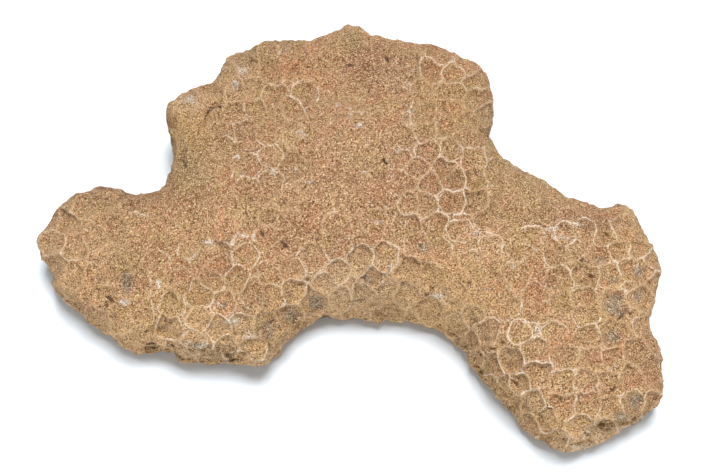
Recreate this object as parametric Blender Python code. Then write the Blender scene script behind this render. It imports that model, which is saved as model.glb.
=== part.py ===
"""Fossil coral head: one massive, lobed colony lying on the flat cut where it was taken off its rock.

Frame: metres, +Z up. The cut lies on z = 0, the length runs along X, and the bay between the two
front legs opens towards -Y. The whole colony grew as one piece, so it is one closed solid: a rolled
slab with its lobes, ledges and hollows, covered all over with the honeycomb of cups (calices) that
the polyps lived in. Lengths below are in millimetres and are turned to metres once, at the end.
"""

import math
from random import Random

import bmesh
import bpy
import numpy as np
from mathutils import Vector, geometry, noise
from mathutils.bvhtree import BVHTree

MM = 0.001

# Driving dimensions of the slab, in millimetres
LENGTH = 140.0
RIM_LEVEL = 12.5         # height of the widest section above the cut
UNDERCUT = 5.0           # how far the underside curves in below the rim
BELOW_CUT = 5.0          # the slab is modelled this far below z = 0 and then cut off flat
ROLL_POWER = 2.1         # 2 rolls the edge as an ellipse, more makes it squarer
SKIN_STEP = 0.8          # spacing of the fine skin that the cups are laid out on
BELOW_LABELS = -2.0      # the skin under this level is cut away, so it takes no cups

# Driving dimensions of the cups, in millimetres
CUP_RADIUS = 2.45        # usual cup, from its middle to its wall
CREST_RISE = 0.28        # how far the walls of a fresh cup stand proud
FRESH_INSET = 0.62       # from the crest of a fresh wall to the foot of its slope
WORN_INSET = 0.95        # the same where the wall is worn to a low swelling
FRESH_DEPTH = 0.85       # step down from crest to cup floor where the cups are fresh
WORN_DEPTH = 0.42        # the same where they are worn
CUP_CROWDING = 0.78      # least distance of two cup centres, as a share of their radii together
RELAX_ROUNDS = 7
SEED = 11

# The outline seen from above, clockwise from the tip of the left lobe, in named stretches
LEFT_LOBE_BACK = [(-70.5, 0.5), (-69.5, 3.5), (-67, 6), (-64.5, 8.5), (-62, 10.5), (-58, 12), (-54, 12),
                  (-50.5, 11.5)]
NOTCH = [(-47.5, 9.5), (-44, 10.5), (-42, 13), (-41, 17.5), (-41, 22)]
UPPER_LEFT = [(-42.5, 27.5), (-43, 31.5), (-40, 33.5), (-36.5, 35), (-32, 37), (-29.5, 39.5), (-28.5, 43.5),
              (-26, 45.5)]
BACK_EDGE = [(-20.5, 48), (-14, 49), (-9.5, 49), (-7.5, 50.5), (-4.5, 51), (-2, 52), (1.5, 52), (4, 51.5), (6, 51),
             (9, 51), (13.5, 49), (18, 48.5), (22, 47.5), (26, 46), (30, 43)]
BACK_CORNER = [(32.5, 39), (32.5, 35), (32.5, 31.5), (31.5, 27), (31, 24)]
BACK_SLOPE = [(34, 20), (37, 17), (41, 15), (45, 12), (48.5, 9), (52.5, 7), (57, 6), (61, 6), (63, 3.5)]
RIGHT_END = [(65.5, 0), (68, -4), (69, -8), (68, -12), (66.5, -16), (65, -20), (66, -25), (67.5, -30), (68.5, -34),
             (67.5, -37.5)]
LEG_END = [(64, -39.5), (59.5, -42), (55, -44), (50, -45.5), (45.5, -46), (42.5, -45), (39.5, -42.5)]
LEG_INNER_SIDE = [(36, -38), (32, -33.5), (28, -28.5), (26, -24.5), (23.5, -21), (19, -17.5)]
BAY = [(13, -16), (7, -15.5), (0, -15.5), (-5, -15), (-8.5, -16), (-12, -18.5), (-14.5, -21), (-16.5, -23.5)]
STUB = [(-19, -26), (-22, -26), (-26, -25.5), (-31, -25.5), (-36.5, -26), (-38.5, -25), (-41.5, -23.5)]
LEFT_LOBE_FRONT = [(-44.5, -24), (-49, -23.5), (-53, -21), (-57, -19), (-59.5, -16.5), (-63, -13.5), (-65.5, -11),
                   (-67.5, -7), (-69, -3.5)]
OUTLINE = (LEFT_LOBE_BACK + NOTCH + UPPER_LEFT + BACK_EDGE + BACK_CORNER + BACK_SLOPE + RIGHT_END + LEG_END
           + LEG_INNER_SIDE + BAY + STUB + LEFT_LOBE_FRONT)

# The back of the colony as a surveyor would spot it: x, y, height of the top, width of the rolled edge near by
SUMMITS = [
    (-66, -3, 19, 13), (-56, -6, 24, 14), (-50, -18, 21, 12), (-43, -15, 24, 11), (-28, -18, 27, 10),
    (-44, 6, 25, 8), (-34, 28, 28, 9), (-20, 5, 32, 15), (0, 6, 34, 18), (-18, 38, 28, 12),
    (0, 46, 26, 11), (22, 38, 28, 13), (26, 22, 32, 12), (5, -12, 31, 15), (30, 4, 34, 16),
    (40, 4, 31, 20), (50, -4, 35, 18), (60, -4, 30, 13), (36, -20, 32, 14), (50, -22, 31, 15),
    (64, -22, 24, 15), (48, -40, 24, 13), (60, -36, 21, 13),
]
SUMMIT_REACH = 11.0

# Lumps (depth below 0) and hollows of the top, each x, y, radius, depth
HOLLOWS = [
    (14.5, -12.5, 4.2, 2.2), (-40.5, -24.5, 2.6, 2.6), (-8, -17.0, 2.6, 1.3), (-18.5, -18.5, 3.4, 1.2),
    (-46.5, 11.0, 5.0, 1.2), (57, -9, 4.0, 1.4), (63, -34, 3.2, 1.2), (36.5, 14, 4.5, 1.0),
    (-1, 50, 4.0, -1.4), (-57, -2, 7.0, -0.8), (-47, -14, 5.0, 0.9), (48, 1, 8.0, -1.2),
    (37, -24, 2.6, 0.9), (43, -37, 2.6, 1.1), (25.5, 8.5, 3.0, 0.8), (-30, 41, 3.0, -1.0),
]

# Ledges on the front of the stub: the level of each plate's lip, and how far it juts out
LEDGES = [(17.5, 1.0), (12.0, 1.9), (6.0, 2.3)]
LEDGE_THICKNESS = 4.2

# Cups that stand out are placed by hand as a surveyor reads them from one point above the front. Each is
# x, v, radius: its place on the plane through the middle of the slab, square to the line of sight.
SURVEY_AIM = Vector((0.0, 0.0, 15.0))
SURVEY_ELEVATION = math.radians(66.0)
SURVEY_DISTANCE = 372.0

# The right leg, where the honeycomb is sharpest
RIGHT_LEG_CUPS = [
    (30, -20, 3.0), (37.5, -20.5, 3.2), (45, -20, 2.6), (41, -23.5, 1.8), (52, -21.5, 3.5), (33.5, -23.5, 1.7),
    (37.5, -26, 2.0), (42, -29, 3.3), (45, -23.5, 2.0), (35, -28, 2.4), (31, -27.5, 2.0), (27.5, -26.5, 2.0),
    (26.5, -23, 1.7), (35, -32.5, 2.2), (38, -31.5, 1.6), (40, -35.5, 2.8), (30.5, -32, 2.0), (33.5, -35, 1.7),
    (36, -37.5, 1.7), (39.5, -40, 2.4), (43.5, -40, 2.0), (45, -44, 2.6), (47, -39.5, 2.0), (51, -40.5, 2.4),
    (48, -31.5, 2.4), (44, -33.5, 1.5), (48, -26.5, 2.2), (46, -36.5, 2.2), (51.5, -36, 2.4),
    (52.5, -32.5, 2.2), (55.5, -42, 2.2), (60, -39.5, 1.7), (63, -36, 2.0), (59.5, -32, 2.6), (57, -35.5, 1.7),
    (63, -25.5, 2.6), (65, -31, 2.4), (58.5, -26, 2.4), (58, -21.5, 2.2), (53.5, -27.5, 2.4),
]
# The right shoulder, above the leg
RIGHT_SHOULDER_CUPS = [
    (58.5, -14.5, 3.0), (58, -9, 2.3), (60.5, -5.5, 1.8), (55.5, -4.5, 2.0), (64, -7.5, 2.0), (59.5, -2, 1.7),
    (60, 1.5, 2.3), (64, -2, 2.0), (54.5, 1, 2.0), (50, -7, 1.8), (53.5, -8, 1.7), (53.5, -12, 2.4),
    (50, -15.5, 2.2), (55.5, -17.5, 2.0), (64, -12.5, 1.7), (64.5, -17.5, 1.7), (63, -21, 1.7),
    (44.5, -2.5, 3.0), (46, -9, 2.6), (40.5, -14.5, 3.5), (36, -9, 2.6), (40, -5, 2.4), (44, 1.5, 1.7),
    (40, 0.5, 2.0), (35.5, -3, 2.2), (49.5, 1, 2.0), (50.5, -3, 2.0), (54.5, -1.5, 1.5), (46.5, -15, 2.0),
]
# The ridge from the shoulder to the middle, down to the edge of the bay
RIDGE_CUPS = [
    (30, 4.5, 2.6), (24.5, 2, 3.3), (30, -2, 3.0), (21.5, 8.5, 2.4), (33, -14, 2.8), (44, 5, 2.2),
    (19.5, 3, 2.4), (16, -2, 2.2), (11.5, -2.5, 2.0), (7, -2, 2.0), (2.5, -4, 2.8), (-2.5, -6, 2.4),
    (-2, -2, 1.5), (-1.5, -9, 2.0), (7.5, -7, 2.4), (3, -9, 1.5), (14, -6.5, 2.8), (10.5, -10, 1.7),
    (15.5, -12.5, 2.8), (20, -9, 2.0), (20.5, -14, 2.0), (1, -13, 2.2), (-3, -13.5, 2.0), (7, -11.5, 1.7),
    (10, -15.5, 2.0), (5, -15, 1.7), (16.5, 7.5, 2.2), (11, 6, 1.7), (25.5, -5.5, 2.4), (24.5, -10.5, 2.4),
    (28.5, -8.5, 2.2),
]
# The upper right lobe
UPPER_RIGHT_CUPS = [
    (17.5, 38, 2.8), (23, 36.5, 2.4), (23.5, 32.5, 2.2), (15.5, 26.5, 1.7), (16, 23.5, 2.0), (21, 24, 2.4),
    (16, 19.5, 2.8), (22, 20, 2.4), (26.5, 18, 2.4), (28, 21.5, 1.7), (19.5, 15.5, 2.2), (13.5, 15, 2.8),
    (25.5, 14.5, 2.2), (12, 11, 2.2), (17, 11.5, 2.4), (22.5, 12.5, 2.0), (27, 10, 2.6), (11.5, 21.5, 1.7),
    (19.5, 29, 2.0), (13, 34, 2.0), (13.5, 37.5, 1.3),
]
# The upper left lobe, with long shallow cups
UPPER_LEFT_CUPS = [
    (-21, 29, 2.6), (-24.5, 24, 2.8), (-25, 19, 2.4), (-19, 19, 2.6), (-23, 15.5, 2.0), (-16.5, 25.5, 2.6),
    (-17.5, 32, 2.6), (-11.5, 32.5, 2.8), (-23, 34, 2.2), (-18.5, 37.5, 2.6), (-13, 37.5, 2.4), (-5, 34, 2.2),
    (-5.5, 30.5, 2.2), (-12.5, 14.5, 1.7), (-30, 20, 2.2), (-29.5, 24.5, 2.2), (-29, 31, 2.2),
    (-7.5, 37.5, 2.0), (-25.5, 13, 2.2), (-11.5, 27.5, 2.2), (-6.5, 26, 2.2),
]
# The stub in front and the band above it
STUB_CUPS = [
    (-23.5, -3, 3.5), (-19.5, -7, 2.4), (-14, -7, 2.8), (-8.5, -5.5, 2.2), (-5.5, -9, 2.4),
    (-18.5, -13.5, 3.3), (-28.5, -14.5, 3.5), (-26.5, -18.5, 1.7), (-23.5, -19.5, 2.0), (-23.5, -15.5, 1.5),
    (-35, -13.5, 2.0), (-39.5, -7.5, 3.0), (-39, -14, 2.0), (-41, -19, 2.4), (-35, -18.5, 2.6),
    (-31, -21, 2.0), (-27.5, -21.5, 1.5), (-19, -19.5, 2.6), (-13.5, -17.5, 2.0), (-8.5, -14, 2.6),
    (-15.5, -20, 1.5), (-11, -11, 2.0), (-35, -8.5, 2.2), (-30.5, -8.5, 2.4), (-25.5, -9, 2.0),
]
# The left lobe, worn nearly smooth
LEFT_LOBE_CUPS = [
    (-54, -0.5, 3.0), (-48, 3.5, 2.2), (-59.5, 0.5, 2.4), (-60.5, -4.5, 2.2), (-56.5, -7, 2.6),
    (-50, -9.5, 2.0), (-55, -13.5, 2.0), (-50, -14.5, 2.0), (-48, -3, 2.4), (-45, 0.5, 2.0), (-53.5, 4.5, 2.2),
    (-44.5, -5.5, 2.2), (-45, -14, 2.2), (-47, -18.5, 2.2), (-52, -19, 2.2), (-58, 5, 2.2), (-45, -10, 2.0),
    (-61.5, -10, 2.0),
]

PLACED_CUPS = (RIGHT_LEG_CUPS + RIGHT_SHOULDER_CUPS + RIDGE_CUPS + UPPER_RIGHT_CUPS + UPPER_LEFT_CUPS + STUB_CUPS
               + LEFT_LOBE_CUPS)

# How fresh the walls are: x, y, freshness from 0, worn flat, to 1, sharp
FRESHNESS = [
    (45, -32, 1.0), (52, -12, 0.95), (62, -25, 0.9), (36, -8, 0.7), (20, -6, 0.85), (5, -12, 0.9),
    (22, 12, 1.0), (22, 34, 0.7), (-21, 22, 0.55), (-20, 33, 0.4), (-22, -14, 0.9), (-35, -20, 0.8),
    (-56, -6, 0.35), (-48, -20, 0.25), (0, 15, 0.12), (-12, 0, 0.15), (5, 35, 0.15), (45, 10, 0.1),
    (30, 20, 0.3), (-38, 15, 0.15), (-35, 30, 0.25), (-8, -14, 0.85), (62, 2, 0.5),
]
FRESHNESS_REACH = 8.0
SIDE_FRESHNESS = 0.6     # of the steep sides, between the worn back and the sharp legs


def closed_curve(points, step):
    """Points every `step` along the smooth closed curve through `points`."""
    count = len(points)
    curve = []
    for index in range(count):
        before, start, end, after = (Vector(points[(index + k) % count]) for k in (-1, 0, 1, 2))
        pieces = max(1, round((end - start).length / step))
        for piece in range(pieces):
            t = piece / pieces
            curve.append(0.5 * (2 * start + (end - before) * t + (2 * before - 5 * start + 4 * end - after) * t * t
                                + (3 * start - before - 3 * end + after) * t ** 3))
    return curve


def rim_distances(points, rim):
    """Distance from each of `points` (n, 2) to the closed polyline `rim` (m, 2)."""
    ahead = np.roll(rim, -1, axis=0) - rim
    lengths = (ahead ** 2).sum(axis=1)
    nearest = np.full(len(points), np.inf)
    for start, run, length in zip(rim, ahead, lengths):
        offset = points - start
        along = np.clip(offset @ run / length, 0.0, 1.0)
        nearest = np.minimum(nearest, np.linalg.norm(offset - along[:, None] * run, axis=1))
    return nearest


def surveyed(points):
    """Height of the top and width of the rolled edge at each of `points`, blended from the summits."""
    spots = np.array(SUMMITS, float)
    away = np.linalg.norm(points[:, None, :] - spots[None, :, :2], axis=2)
    weights = np.exp(-(away / SUMMIT_REACH) ** 2) + 1e-4 / (1.0 + away)
    weights /= weights.sum(axis=1, keepdims=True)
    return weights @ spots[:, 2], weights @ spots[:, 3]


def rolled(share):
    """Share of the full rise that an edge rolled over a width reaches at `share` of that width."""
    left = 1.0 - np.clip(share, 0.0, 1.0)
    return (1.0 - left ** ROLL_POWER) ** (1.0 / ROLL_POWER)


def plan_points(rim):
    """Points inside the rim: rings that follow it, close together where the edge rolls, then an even fill."""
    inward = []
    for index, point in enumerate(rim):
        along = rim[(index + 1) % len(rim)] - rim[index - 1]
        inward.append(Vector((along.y, -along.x)).normalized())
    flat = np.array([tuple(p) for p in rim])
    candidates = []
    for depth in (0.25, 0.9, 2.0, 3.4, 5.0, 7.0, 9.5, 12.5, 16.0, 20.0):
        ring = np.array([tuple(p + n * depth) for p, n in zip(rim, inward)])
        candidates += list(ring[rim_distances(ring, flat) > 0.9 * depth])
    low, high = flat.min(axis=0), flat.max(axis=0)
    grid = np.array([(x, y) for x in np.arange(low[0], high[0], 3.0) for y in np.arange(low[1], high[1], 3.0)])
    inside = np.array([inside_rim(p, flat) for p in grid])
    grid = grid[inside]
    candidates += list(grid[rim_distances(grid, flat) > 21.0])
    return flat, np.array(candidates)


def inside_rim(point, rim):
    """Whether a point is inside the closed polyline, by counting crossings of a ray along +X."""
    ahead = np.roll(rim, -1, axis=0)
    spans = (rim[:, 1] > point[1]) != (ahead[:, 1] > point[1])
    rise = np.where(spans, ahead[:, 1] - rim[:, 1], 1.0)
    crossing = rim[:, 0] + (point[1] - rim[:, 1]) / rise * (ahead[:, 0] - rim[:, 0])
    return bool(np.count_nonzero(spans & (point[0] < crossing)) % 2)


def slab_mesh():
    """The closed slab: a rolled top and an undercut underside that share the rim."""
    rim = closed_curve(OUTLINE, 1.4)
    flat, inner = plan_points(rim)
    plan = [Vector(p) for p in flat] + [Vector(p) for p in inner]
    loop = list(range(len(flat)))
    points, _, triangles, *_ = geometry.delaunay_2d_cdt(plan, [], [loop], 1, 1e-4)
    points = np.array([tuple(p) for p in points])
    away = rim_distances(points, flat)
    heights, rolls = surveyed(points)
    top = RIM_LEVEL + (heights - RIM_LEVEL) * rolled(away / rolls)
    bottom = RIM_LEVEL - (RIM_LEVEL + BELOW_CUT) * rolled(away / UNDERCUT)
    work = bmesh.new()
    rim_point = away < 1e-3
    upper = [work.verts.new((x, y, z)) for (x, y), z in zip(points, top)]
    lower = [upper[k] if rim_point[k] else work.verts.new((*points[k], bottom[k])) for k in range(len(points))]
    for a, b, c in triangles:
        if rim_point[a] and rim_point[b] and rim_point[c]:
            continue
        work.faces.new((upper[a], upper[b], upper[c]))
        work.faces.new((lower[c], lower[b], lower[a]))
    bmesh.ops.recalc_face_normals(work, faces=work.faces)
    mesh = bpy.data.meshes.new("slab")
    work.to_mesh(mesh)
    work.free()
    return mesh


def evaluated_copy(guide):
    """The mesh of an object as its modifiers make it, with the object itself removed."""
    depsgraph = bpy.context.evaluated_depsgraph_get()
    mesh = bpy.data.meshes.new_from_object(guide.evaluated_get(depsgraph))
    bpy.data.objects.remove(guide)
    return mesh


def fine_skin(slab):
    """The slab as an even skin of small faces."""
    guide = bpy.data.objects.new("skin_guide", slab)
    bpy.context.scene.collection.objects.link(guide)
    remesh = guide.modifiers.new("even", "REMESH")
    remesh.mode = "VOXEL"
    remesh.voxel_size = SKIN_STEP
    smooth = guide.modifiers.new("soft", "SMOOTH")
    smooth.factor = 0.5
    smooth.iterations = 4
    return evaluated_copy(guide)


def ledge_push(x, y, z, facing):
    """How far the plates on the front of the stub jut out at a point of the skin."""
    if facing.y > -0.15 or not (-42.0 < x < -15.0 and y < -19.0):
        return 0.0
    fade = min(1.0, (x + 42.0) / 4.0, (-15.0 - x) / 4.0)
    push = 0.0
    for lip, reach in LEDGES:
        level = lip + 1.3 * noise.noise(Vector((x * 0.09, lip, 3.0)))
        below = (level - z) / LEDGE_THICKNESS
        if 0.0 <= below < 1.0:
            push = max(push, reach * (1.0 - below) ** 1.5)
    return fade * push * -min(0.0, facing.y)


def weathered(skin):
    """Moves the skin's points: the swell and lumps of the colony, its hollows and its ledges."""
    normals = [v.normal.copy() for v in skin.vertices]
    for vertex, facing in zip(skin.vertices, normals):
        place = vertex.co.copy()
        swell = 1.1 * noise.noise(place * 0.055) + 0.65 * noise.noise(place * 0.14 + Vector((7, 3, 1)))
        rough = 0.30 * noise.noise(place * 0.33 + Vector((1, 9, 4)))
        push = swell + rough + ledge_push(place.x, place.y, place.z, facing)
        if facing.z > 0.2:
            for x, y, radius, depth in HOLLOWS:
                reach = math.hypot(place.x - x, place.y - y) / radius
                if reach < 1.6:
                    push -= depth * math.exp(-1.6 * reach * reach)
        vertex.co = place + facing * push
    skin.update()
    return skin


def blended(points, spots, reach):
    """The last column of `spots` at each of `points` (n, 2), by nearness."""
    spots = np.array(spots, float)
    away = np.linalg.norm(points[:, None, :] - spots[None, :, :2], axis=2)
    weights = np.exp(-(away / reach) ** 2) + 1e-5
    return (weights @ spots[:, 2]) / weights.sum(axis=1)


def placed_centres(skin):
    """The cups placed by hand, brought down their lines of sight onto the skin: centres and radii."""
    tree = BVHTree.FromPolygons([v.co for v in skin.vertices], [tuple(p.vertices) for p in skin.polygons])
    sight = Vector((0.0, math.cos(SURVEY_ELEVATION), -math.sin(SURVEY_ELEVATION)))
    upward = Vector((0.0, math.sin(SURVEY_ELEVATION), math.cos(SURVEY_ELEVATION)))
    eye = SURVEY_AIM - sight * SURVEY_DISTANCE
    centres, radii = [], []
    for x, v, radius in PLACED_CUPS:
        target = SURVEY_AIM + Vector((x, 0.0, 0.0)) + upward * v
        spot = tree.ray_cast(eye, (target - eye).normalized())[0]
        if spot is not None:
            centres.append(spot[:])
            radii.append(radius)
    return centres, radii


def usual_radius(place, freshness, facing_up):
    """Radius of a cup that isn't placed by hand: smaller on the right leg, wider where it is worn or steep."""
    radius = CUP_RADIUS + 0.6 * (1.0 - freshness) + 0.45 * (1.0 - facing_up)
    if place[0] > 24.0 and place[1] < -14.0:
        radius -= 0.35
    return radius


def scattered_centres(faces, radii_here, centres, radii):
    """Fills the rest of the skin with cups that keep their distance from each other."""
    order = list(range(len(faces)))
    Random(SEED).shuffle(order)
    places = np.zeros((len(faces), 3))
    reach = np.zeros(len(faces))
    count = len(centres)
    places[:count], reach[:count] = centres, radii
    for index in order:
        gaps = np.linalg.norm(places[:count] - faces[index], axis=1)
        if (gaps > CUP_CROWDING * (reach[:count] + radii_here[index])).all():
            places[count], reach[count] = faces[index], radii_here[index]
            count += 1
    return places[:count], reach[:count]


def nearest_cup(faces, centres, radii):
    """For each face of the skin, the cup whose ball it lies deepest in."""
    labels = np.zeros(len(faces), int)
    for start in range(0, len(faces), 4096):
        chunk = faces[start:start + 4096]
        power = ((chunk[:, None, :] - centres[None]) ** 2).sum(axis=2) - radii ** 2
        labels[start:start + 4096] = power.argmin(axis=1)
    return labels


def relaxed(faces, centres, radii, fixed):
    """Evens out the cups after the first `fixed` ones, each moving to the middle of its faces."""
    for _ in range(RELAX_ROUNDS):
        labels = nearest_cup(faces, centres, radii)
        counts = np.bincount(labels, minlength=len(centres))
        middles = np.stack([np.bincount(labels, faces[:, k], len(centres)) for k in range(3)], axis=1)
        held = (counts > 0) & (np.arange(len(centres)) >= fixed)
        centres[held] = middles[held] / counts[held, None]
    return centres


def joined_up(work, labels):
    """Gives stray islands of a cup to its neighbours, so that every cup is one patch."""
    for _ in range(4):
        seen = np.full(len(labels), -1)
        patches = []
        for seed_face in work.faces:
            if seen[seed_face.index] >= 0:
                continue
            seen[seed_face.index] = len(patches)
            patch = [seed_face]
            for face in patch:
                for edge in face.edges:
                    for other in edge.link_faces:
                        if seen[other.index] < 0 and labels[other.index] == labels[face.index]:
                            seen[other.index] = len(patches)
                            patch.append(other)
            patches.append(patch)
        largest = {}
        for patch in patches:
            label = labels[patch[0].index]
            if label not in largest or len(patch) > len(largest[label]):
                largest[label] = patch
        strays = [p for p in patches if largest[labels[p[0].index]] is not p or len(p) < 6]
        if not strays:
            break
        for patch in strays:
            own = labels[patch[0].index]
            around = [labels[o.index] for f in patch for e in f.edges for o in e.link_faces
                      if labels[o.index] != own]
            fresh_label = max(set(around), key=around.count)
            for face in patch:
                labels[face.index] = fresh_label
    return labels


def honeycomb(skin):
    """The skin with each cup as one many-sided face whose corners are where three cups meet."""
    work = bmesh.new()
    work.from_mesh(skin)
    work.faces.ensure_lookup_table()
    kept = [f for f in work.faces if f.calc_center_median().z > BELOW_LABELS]
    faces = np.array([f.calc_center_median()[:] for f in kept])
    upright = np.array([max(0.0, f.normal.z) for f in kept])
    freshness = blended(faces[:, :2], FRESHNESS, FRESHNESS_REACH)
    freshness = freshness * upright + (0.5 * freshness + 0.5 * SIDE_FRESHNESS) * (1.0 - upright)
    radii_here = np.array([usual_radius(p, f, u) for p, f, u in zip(faces, freshness, upright)])
    centres, radii = placed_centres(skin)
    fixed = len(centres)
    centres, radii = scattered_centres(faces, radii_here, centres, radii)
    centres = relaxed(faces, centres, radii, fixed)
    of_kept = nearest_cup(faces, centres, radii)
    members = np.maximum(1, np.bincount(of_kept, minlength=len(centres)))
    shares = np.append(np.bincount(of_kept, freshness, len(centres)) / members, 0.0)
    labels = np.full(len(work.faces), len(centres))
    labels[[f.index for f in kept]] = of_kept
    labels = joined_up(work, labels)
    cup_layer = work.faces.layers.float.new("freshness")
    for face in work.faces:
        face[cup_layer] = shares[labels[face.index]]
    within = [e for e in work.edges if labels[e.link_faces[0].index] == labels[e.link_faces[1].index]]
    bmesh.ops.dissolve_edges(work, edges=within, use_verts=True, use_face_split=False)
    bmesh.ops.dissolve_verts(work, verts=[v for v in work.verts if len(v.link_edges) == 2])
    return work, cup_layer


def dished(work, cup_layer):
    """Raises the walls and sinks the cups, each with a sloped ring inside its wall and a floor."""
    work.normal_update()
    lift = {v: max(f[cup_layer] for f in v.link_faces) for v in work.verts}
    outward = {v: v.normal.copy() for v in work.verts}
    for vertex in work.verts:
        vertex.co += outward[vertex] * CREST_RISE * lift[vertex]
    work.normal_update()
    cups = list(work.faces)
    for floor in bmesh.ops.extrude_discrete_faces(work, faces=cups)["faces"]:
        fresh = floor[cup_layer]
        middle = floor.calc_center_median()
        reach = sum((v.co - middle).length for v in floor.verts) / len(floor.verts)
        inset = WORN_INSET + (FRESH_INSET - WORN_INSET) * fresh
        drop = floor.normal * (WORN_DEPTH + (FRESH_DEPTH - WORN_DEPTH) * fresh)
        share = max(0.45, 1.0 - inset / reach)
        for vertex in floor.verts:
            vertex.co = middle + (vertex.co - middle) * share - drop
    return work


def cut_flat(work):
    """Cuts everything below z = 0 away and closes the cut with one flat face."""
    everything = list(work.verts) + list(work.edges) + list(work.faces)
    bmesh.ops.bisect_plane(work, geom=everything, dist=1e-4, plane_co=(0, 0, 0), plane_no=(0, 0, 1),
                           clear_inner=True)
    bmesh.ops.dissolve_degenerate(work, dist=0.05, edges=work.edges)
    rim = [e for e in work.edges if e.is_boundary]
    bmesh.ops.holes_fill(work, edges=rim, sides=0)
    bmesh.ops.triangulate(work, faces=work.faces)
    bmesh.ops.recalc_face_normals(work, faces=work.faces)
    return work


def settled(work):
    """Brings the colony to its true length, centred over the origin, in metres."""
    corners = np.array([v.co[:] for v in work.verts])
    low, high = corners.min(axis=0), corners.max(axis=0)
    scale = MM * LENGTH / (high[0] - low[0])
    middle = Vector((0.5 * (low[0] + high[0]), 0.5 * (low[1] + high[1]), 0.0))
    for vertex in work.verts:
        vertex.co = (vertex.co - middle) * scale
    return work


def coral_limestone():
    """Tan, dry, sandy limestone."""
    material = bpy.data.materials.new("coral_limestone")
    material.use_nodes = True
    shader = material.node_tree.nodes["Principled BSDF"]
    shader.inputs["Base Color"].default_value = (0.45, 0.29, 0.16, 1.0)
    shader.inputs["Roughness"].default_value = 0.9
    shader.inputs["Metallic"].default_value = 0.0
    material.diffuse_color = (0.45, 0.29, 0.16, 1.0)
    return material


def build_coral_head():
    """Builds the colony and links it to the scene."""
    skin = weathered(fine_skin(slab_mesh()))
    work, cup_layer = honeycomb(skin)
    bpy.data.meshes.remove(skin)
    work = settled(cut_flat(dished(work, cup_layer)))
    mesh = bpy.data.meshes.new("coral_head")
    work.to_mesh(mesh)
    work.free()
    mesh.materials.append(coral_limestone())
    coral_head = bpy.data.objects.new("coral_head", mesh)
    bpy.context.scene.collection.objects.link(coral_head)
    return coral_head


for leftover in list(bpy.data.objects):
    bpy.data.objects.remove(leftover)

build_coral_head()
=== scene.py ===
"""The looks of a fossil coral head: weathered limestone covered in honeycomb cups, on a pale studio floor.

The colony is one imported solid. Its surface is taken up again at a finer grain: the cups are rounded,
worn and crumbled, marked by pores, cracks and stains, and strewn with sand grains. Sizes are in
millimetres in the class fields and are turned to metres where they meet Blender.
"""

from __future__ import annotations

import logging
import math
from collections.abc import Callable, Mapping, Sequence
from dataclasses import dataclass
from enum import Enum
from random import Random
from typing import Any

import bmesh
import bpy
import numpy as np
from mathutils import Matrix, Vector, noise
from mathutils.kdtree import KDTree

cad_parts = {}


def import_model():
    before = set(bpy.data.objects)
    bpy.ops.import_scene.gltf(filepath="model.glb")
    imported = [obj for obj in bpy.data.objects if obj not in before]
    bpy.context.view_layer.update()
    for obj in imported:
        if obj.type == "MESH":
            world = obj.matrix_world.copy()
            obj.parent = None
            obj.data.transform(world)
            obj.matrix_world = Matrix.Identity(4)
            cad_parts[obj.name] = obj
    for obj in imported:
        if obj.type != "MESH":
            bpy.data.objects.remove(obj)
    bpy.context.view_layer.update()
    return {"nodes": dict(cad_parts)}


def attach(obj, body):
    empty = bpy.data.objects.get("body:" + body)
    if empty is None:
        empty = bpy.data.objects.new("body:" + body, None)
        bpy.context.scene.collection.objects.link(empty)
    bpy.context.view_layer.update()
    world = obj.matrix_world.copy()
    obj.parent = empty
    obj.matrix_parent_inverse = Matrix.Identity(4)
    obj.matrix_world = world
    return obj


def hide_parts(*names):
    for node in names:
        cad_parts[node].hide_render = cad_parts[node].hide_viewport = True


LOG = logging.getLogger("coral_head")
MM = 0.001
# A distance past everything that is looked for, and how far from a line its distance is still worked out
FAR = 99.0
LINE_MARGIN = 4.0
# How fast a soft spot fades
SPOT_FALL = 1.2

Colour = tuple[float, float, float]
Point = tuple[float, float]


class Tint(Enum):
    """The stains that lie over the limestone, each with the colour it pulls the stone towards. Sand and chalk
    also paint light on the lower front flanks, and the last tint is painted shade in pits, cracks and
    grooves.
    """

    RUST = (0.31, 0.135, 0.072)
    OCHRE = (0.50, 0.290, 0.090)
    OLIVE = (0.31, 0.225, 0.095)
    # Pale sand and chalk stains, which also paint light on the lower front flanks, where less light falls
    SAND_AND_PAINTED_LIGHT = (0.70, 0.420, 0.180)
    CHALK_AND_PAINTED_LIGHT = (0.74, 0.50, 0.29)
    SLATE = (0.27, 0.225, 0.160)
    SPAR = (0.82, 0.75, 0.66)
    # Painted shade: near-black patches in pits, cracks and grooves
    HOLLOW_SHADE = (0.10, 0.055, 0.03)


# Shader maths


@dataclass(frozen=True)
class Cloud:
    """Soft noise: the size of its largest features, its finer octaves and their strength, and a shift."""

    size: float
    detail: float = 2.0
    rough: float = 0.5
    shift: float = 0.0


@dataclass(frozen=True)
class Specks:
    """Small round specks: their spacing, their radius as a share of it, how many there are, and a shift.

    core is where a speck is full, as a share of its radius, and doubt is how softly its presence is drawn.
    """

    spacing: float
    reach: float
    share: float
    shift: float
    core: float = 0.35
    doubt: float = 0.04


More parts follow.
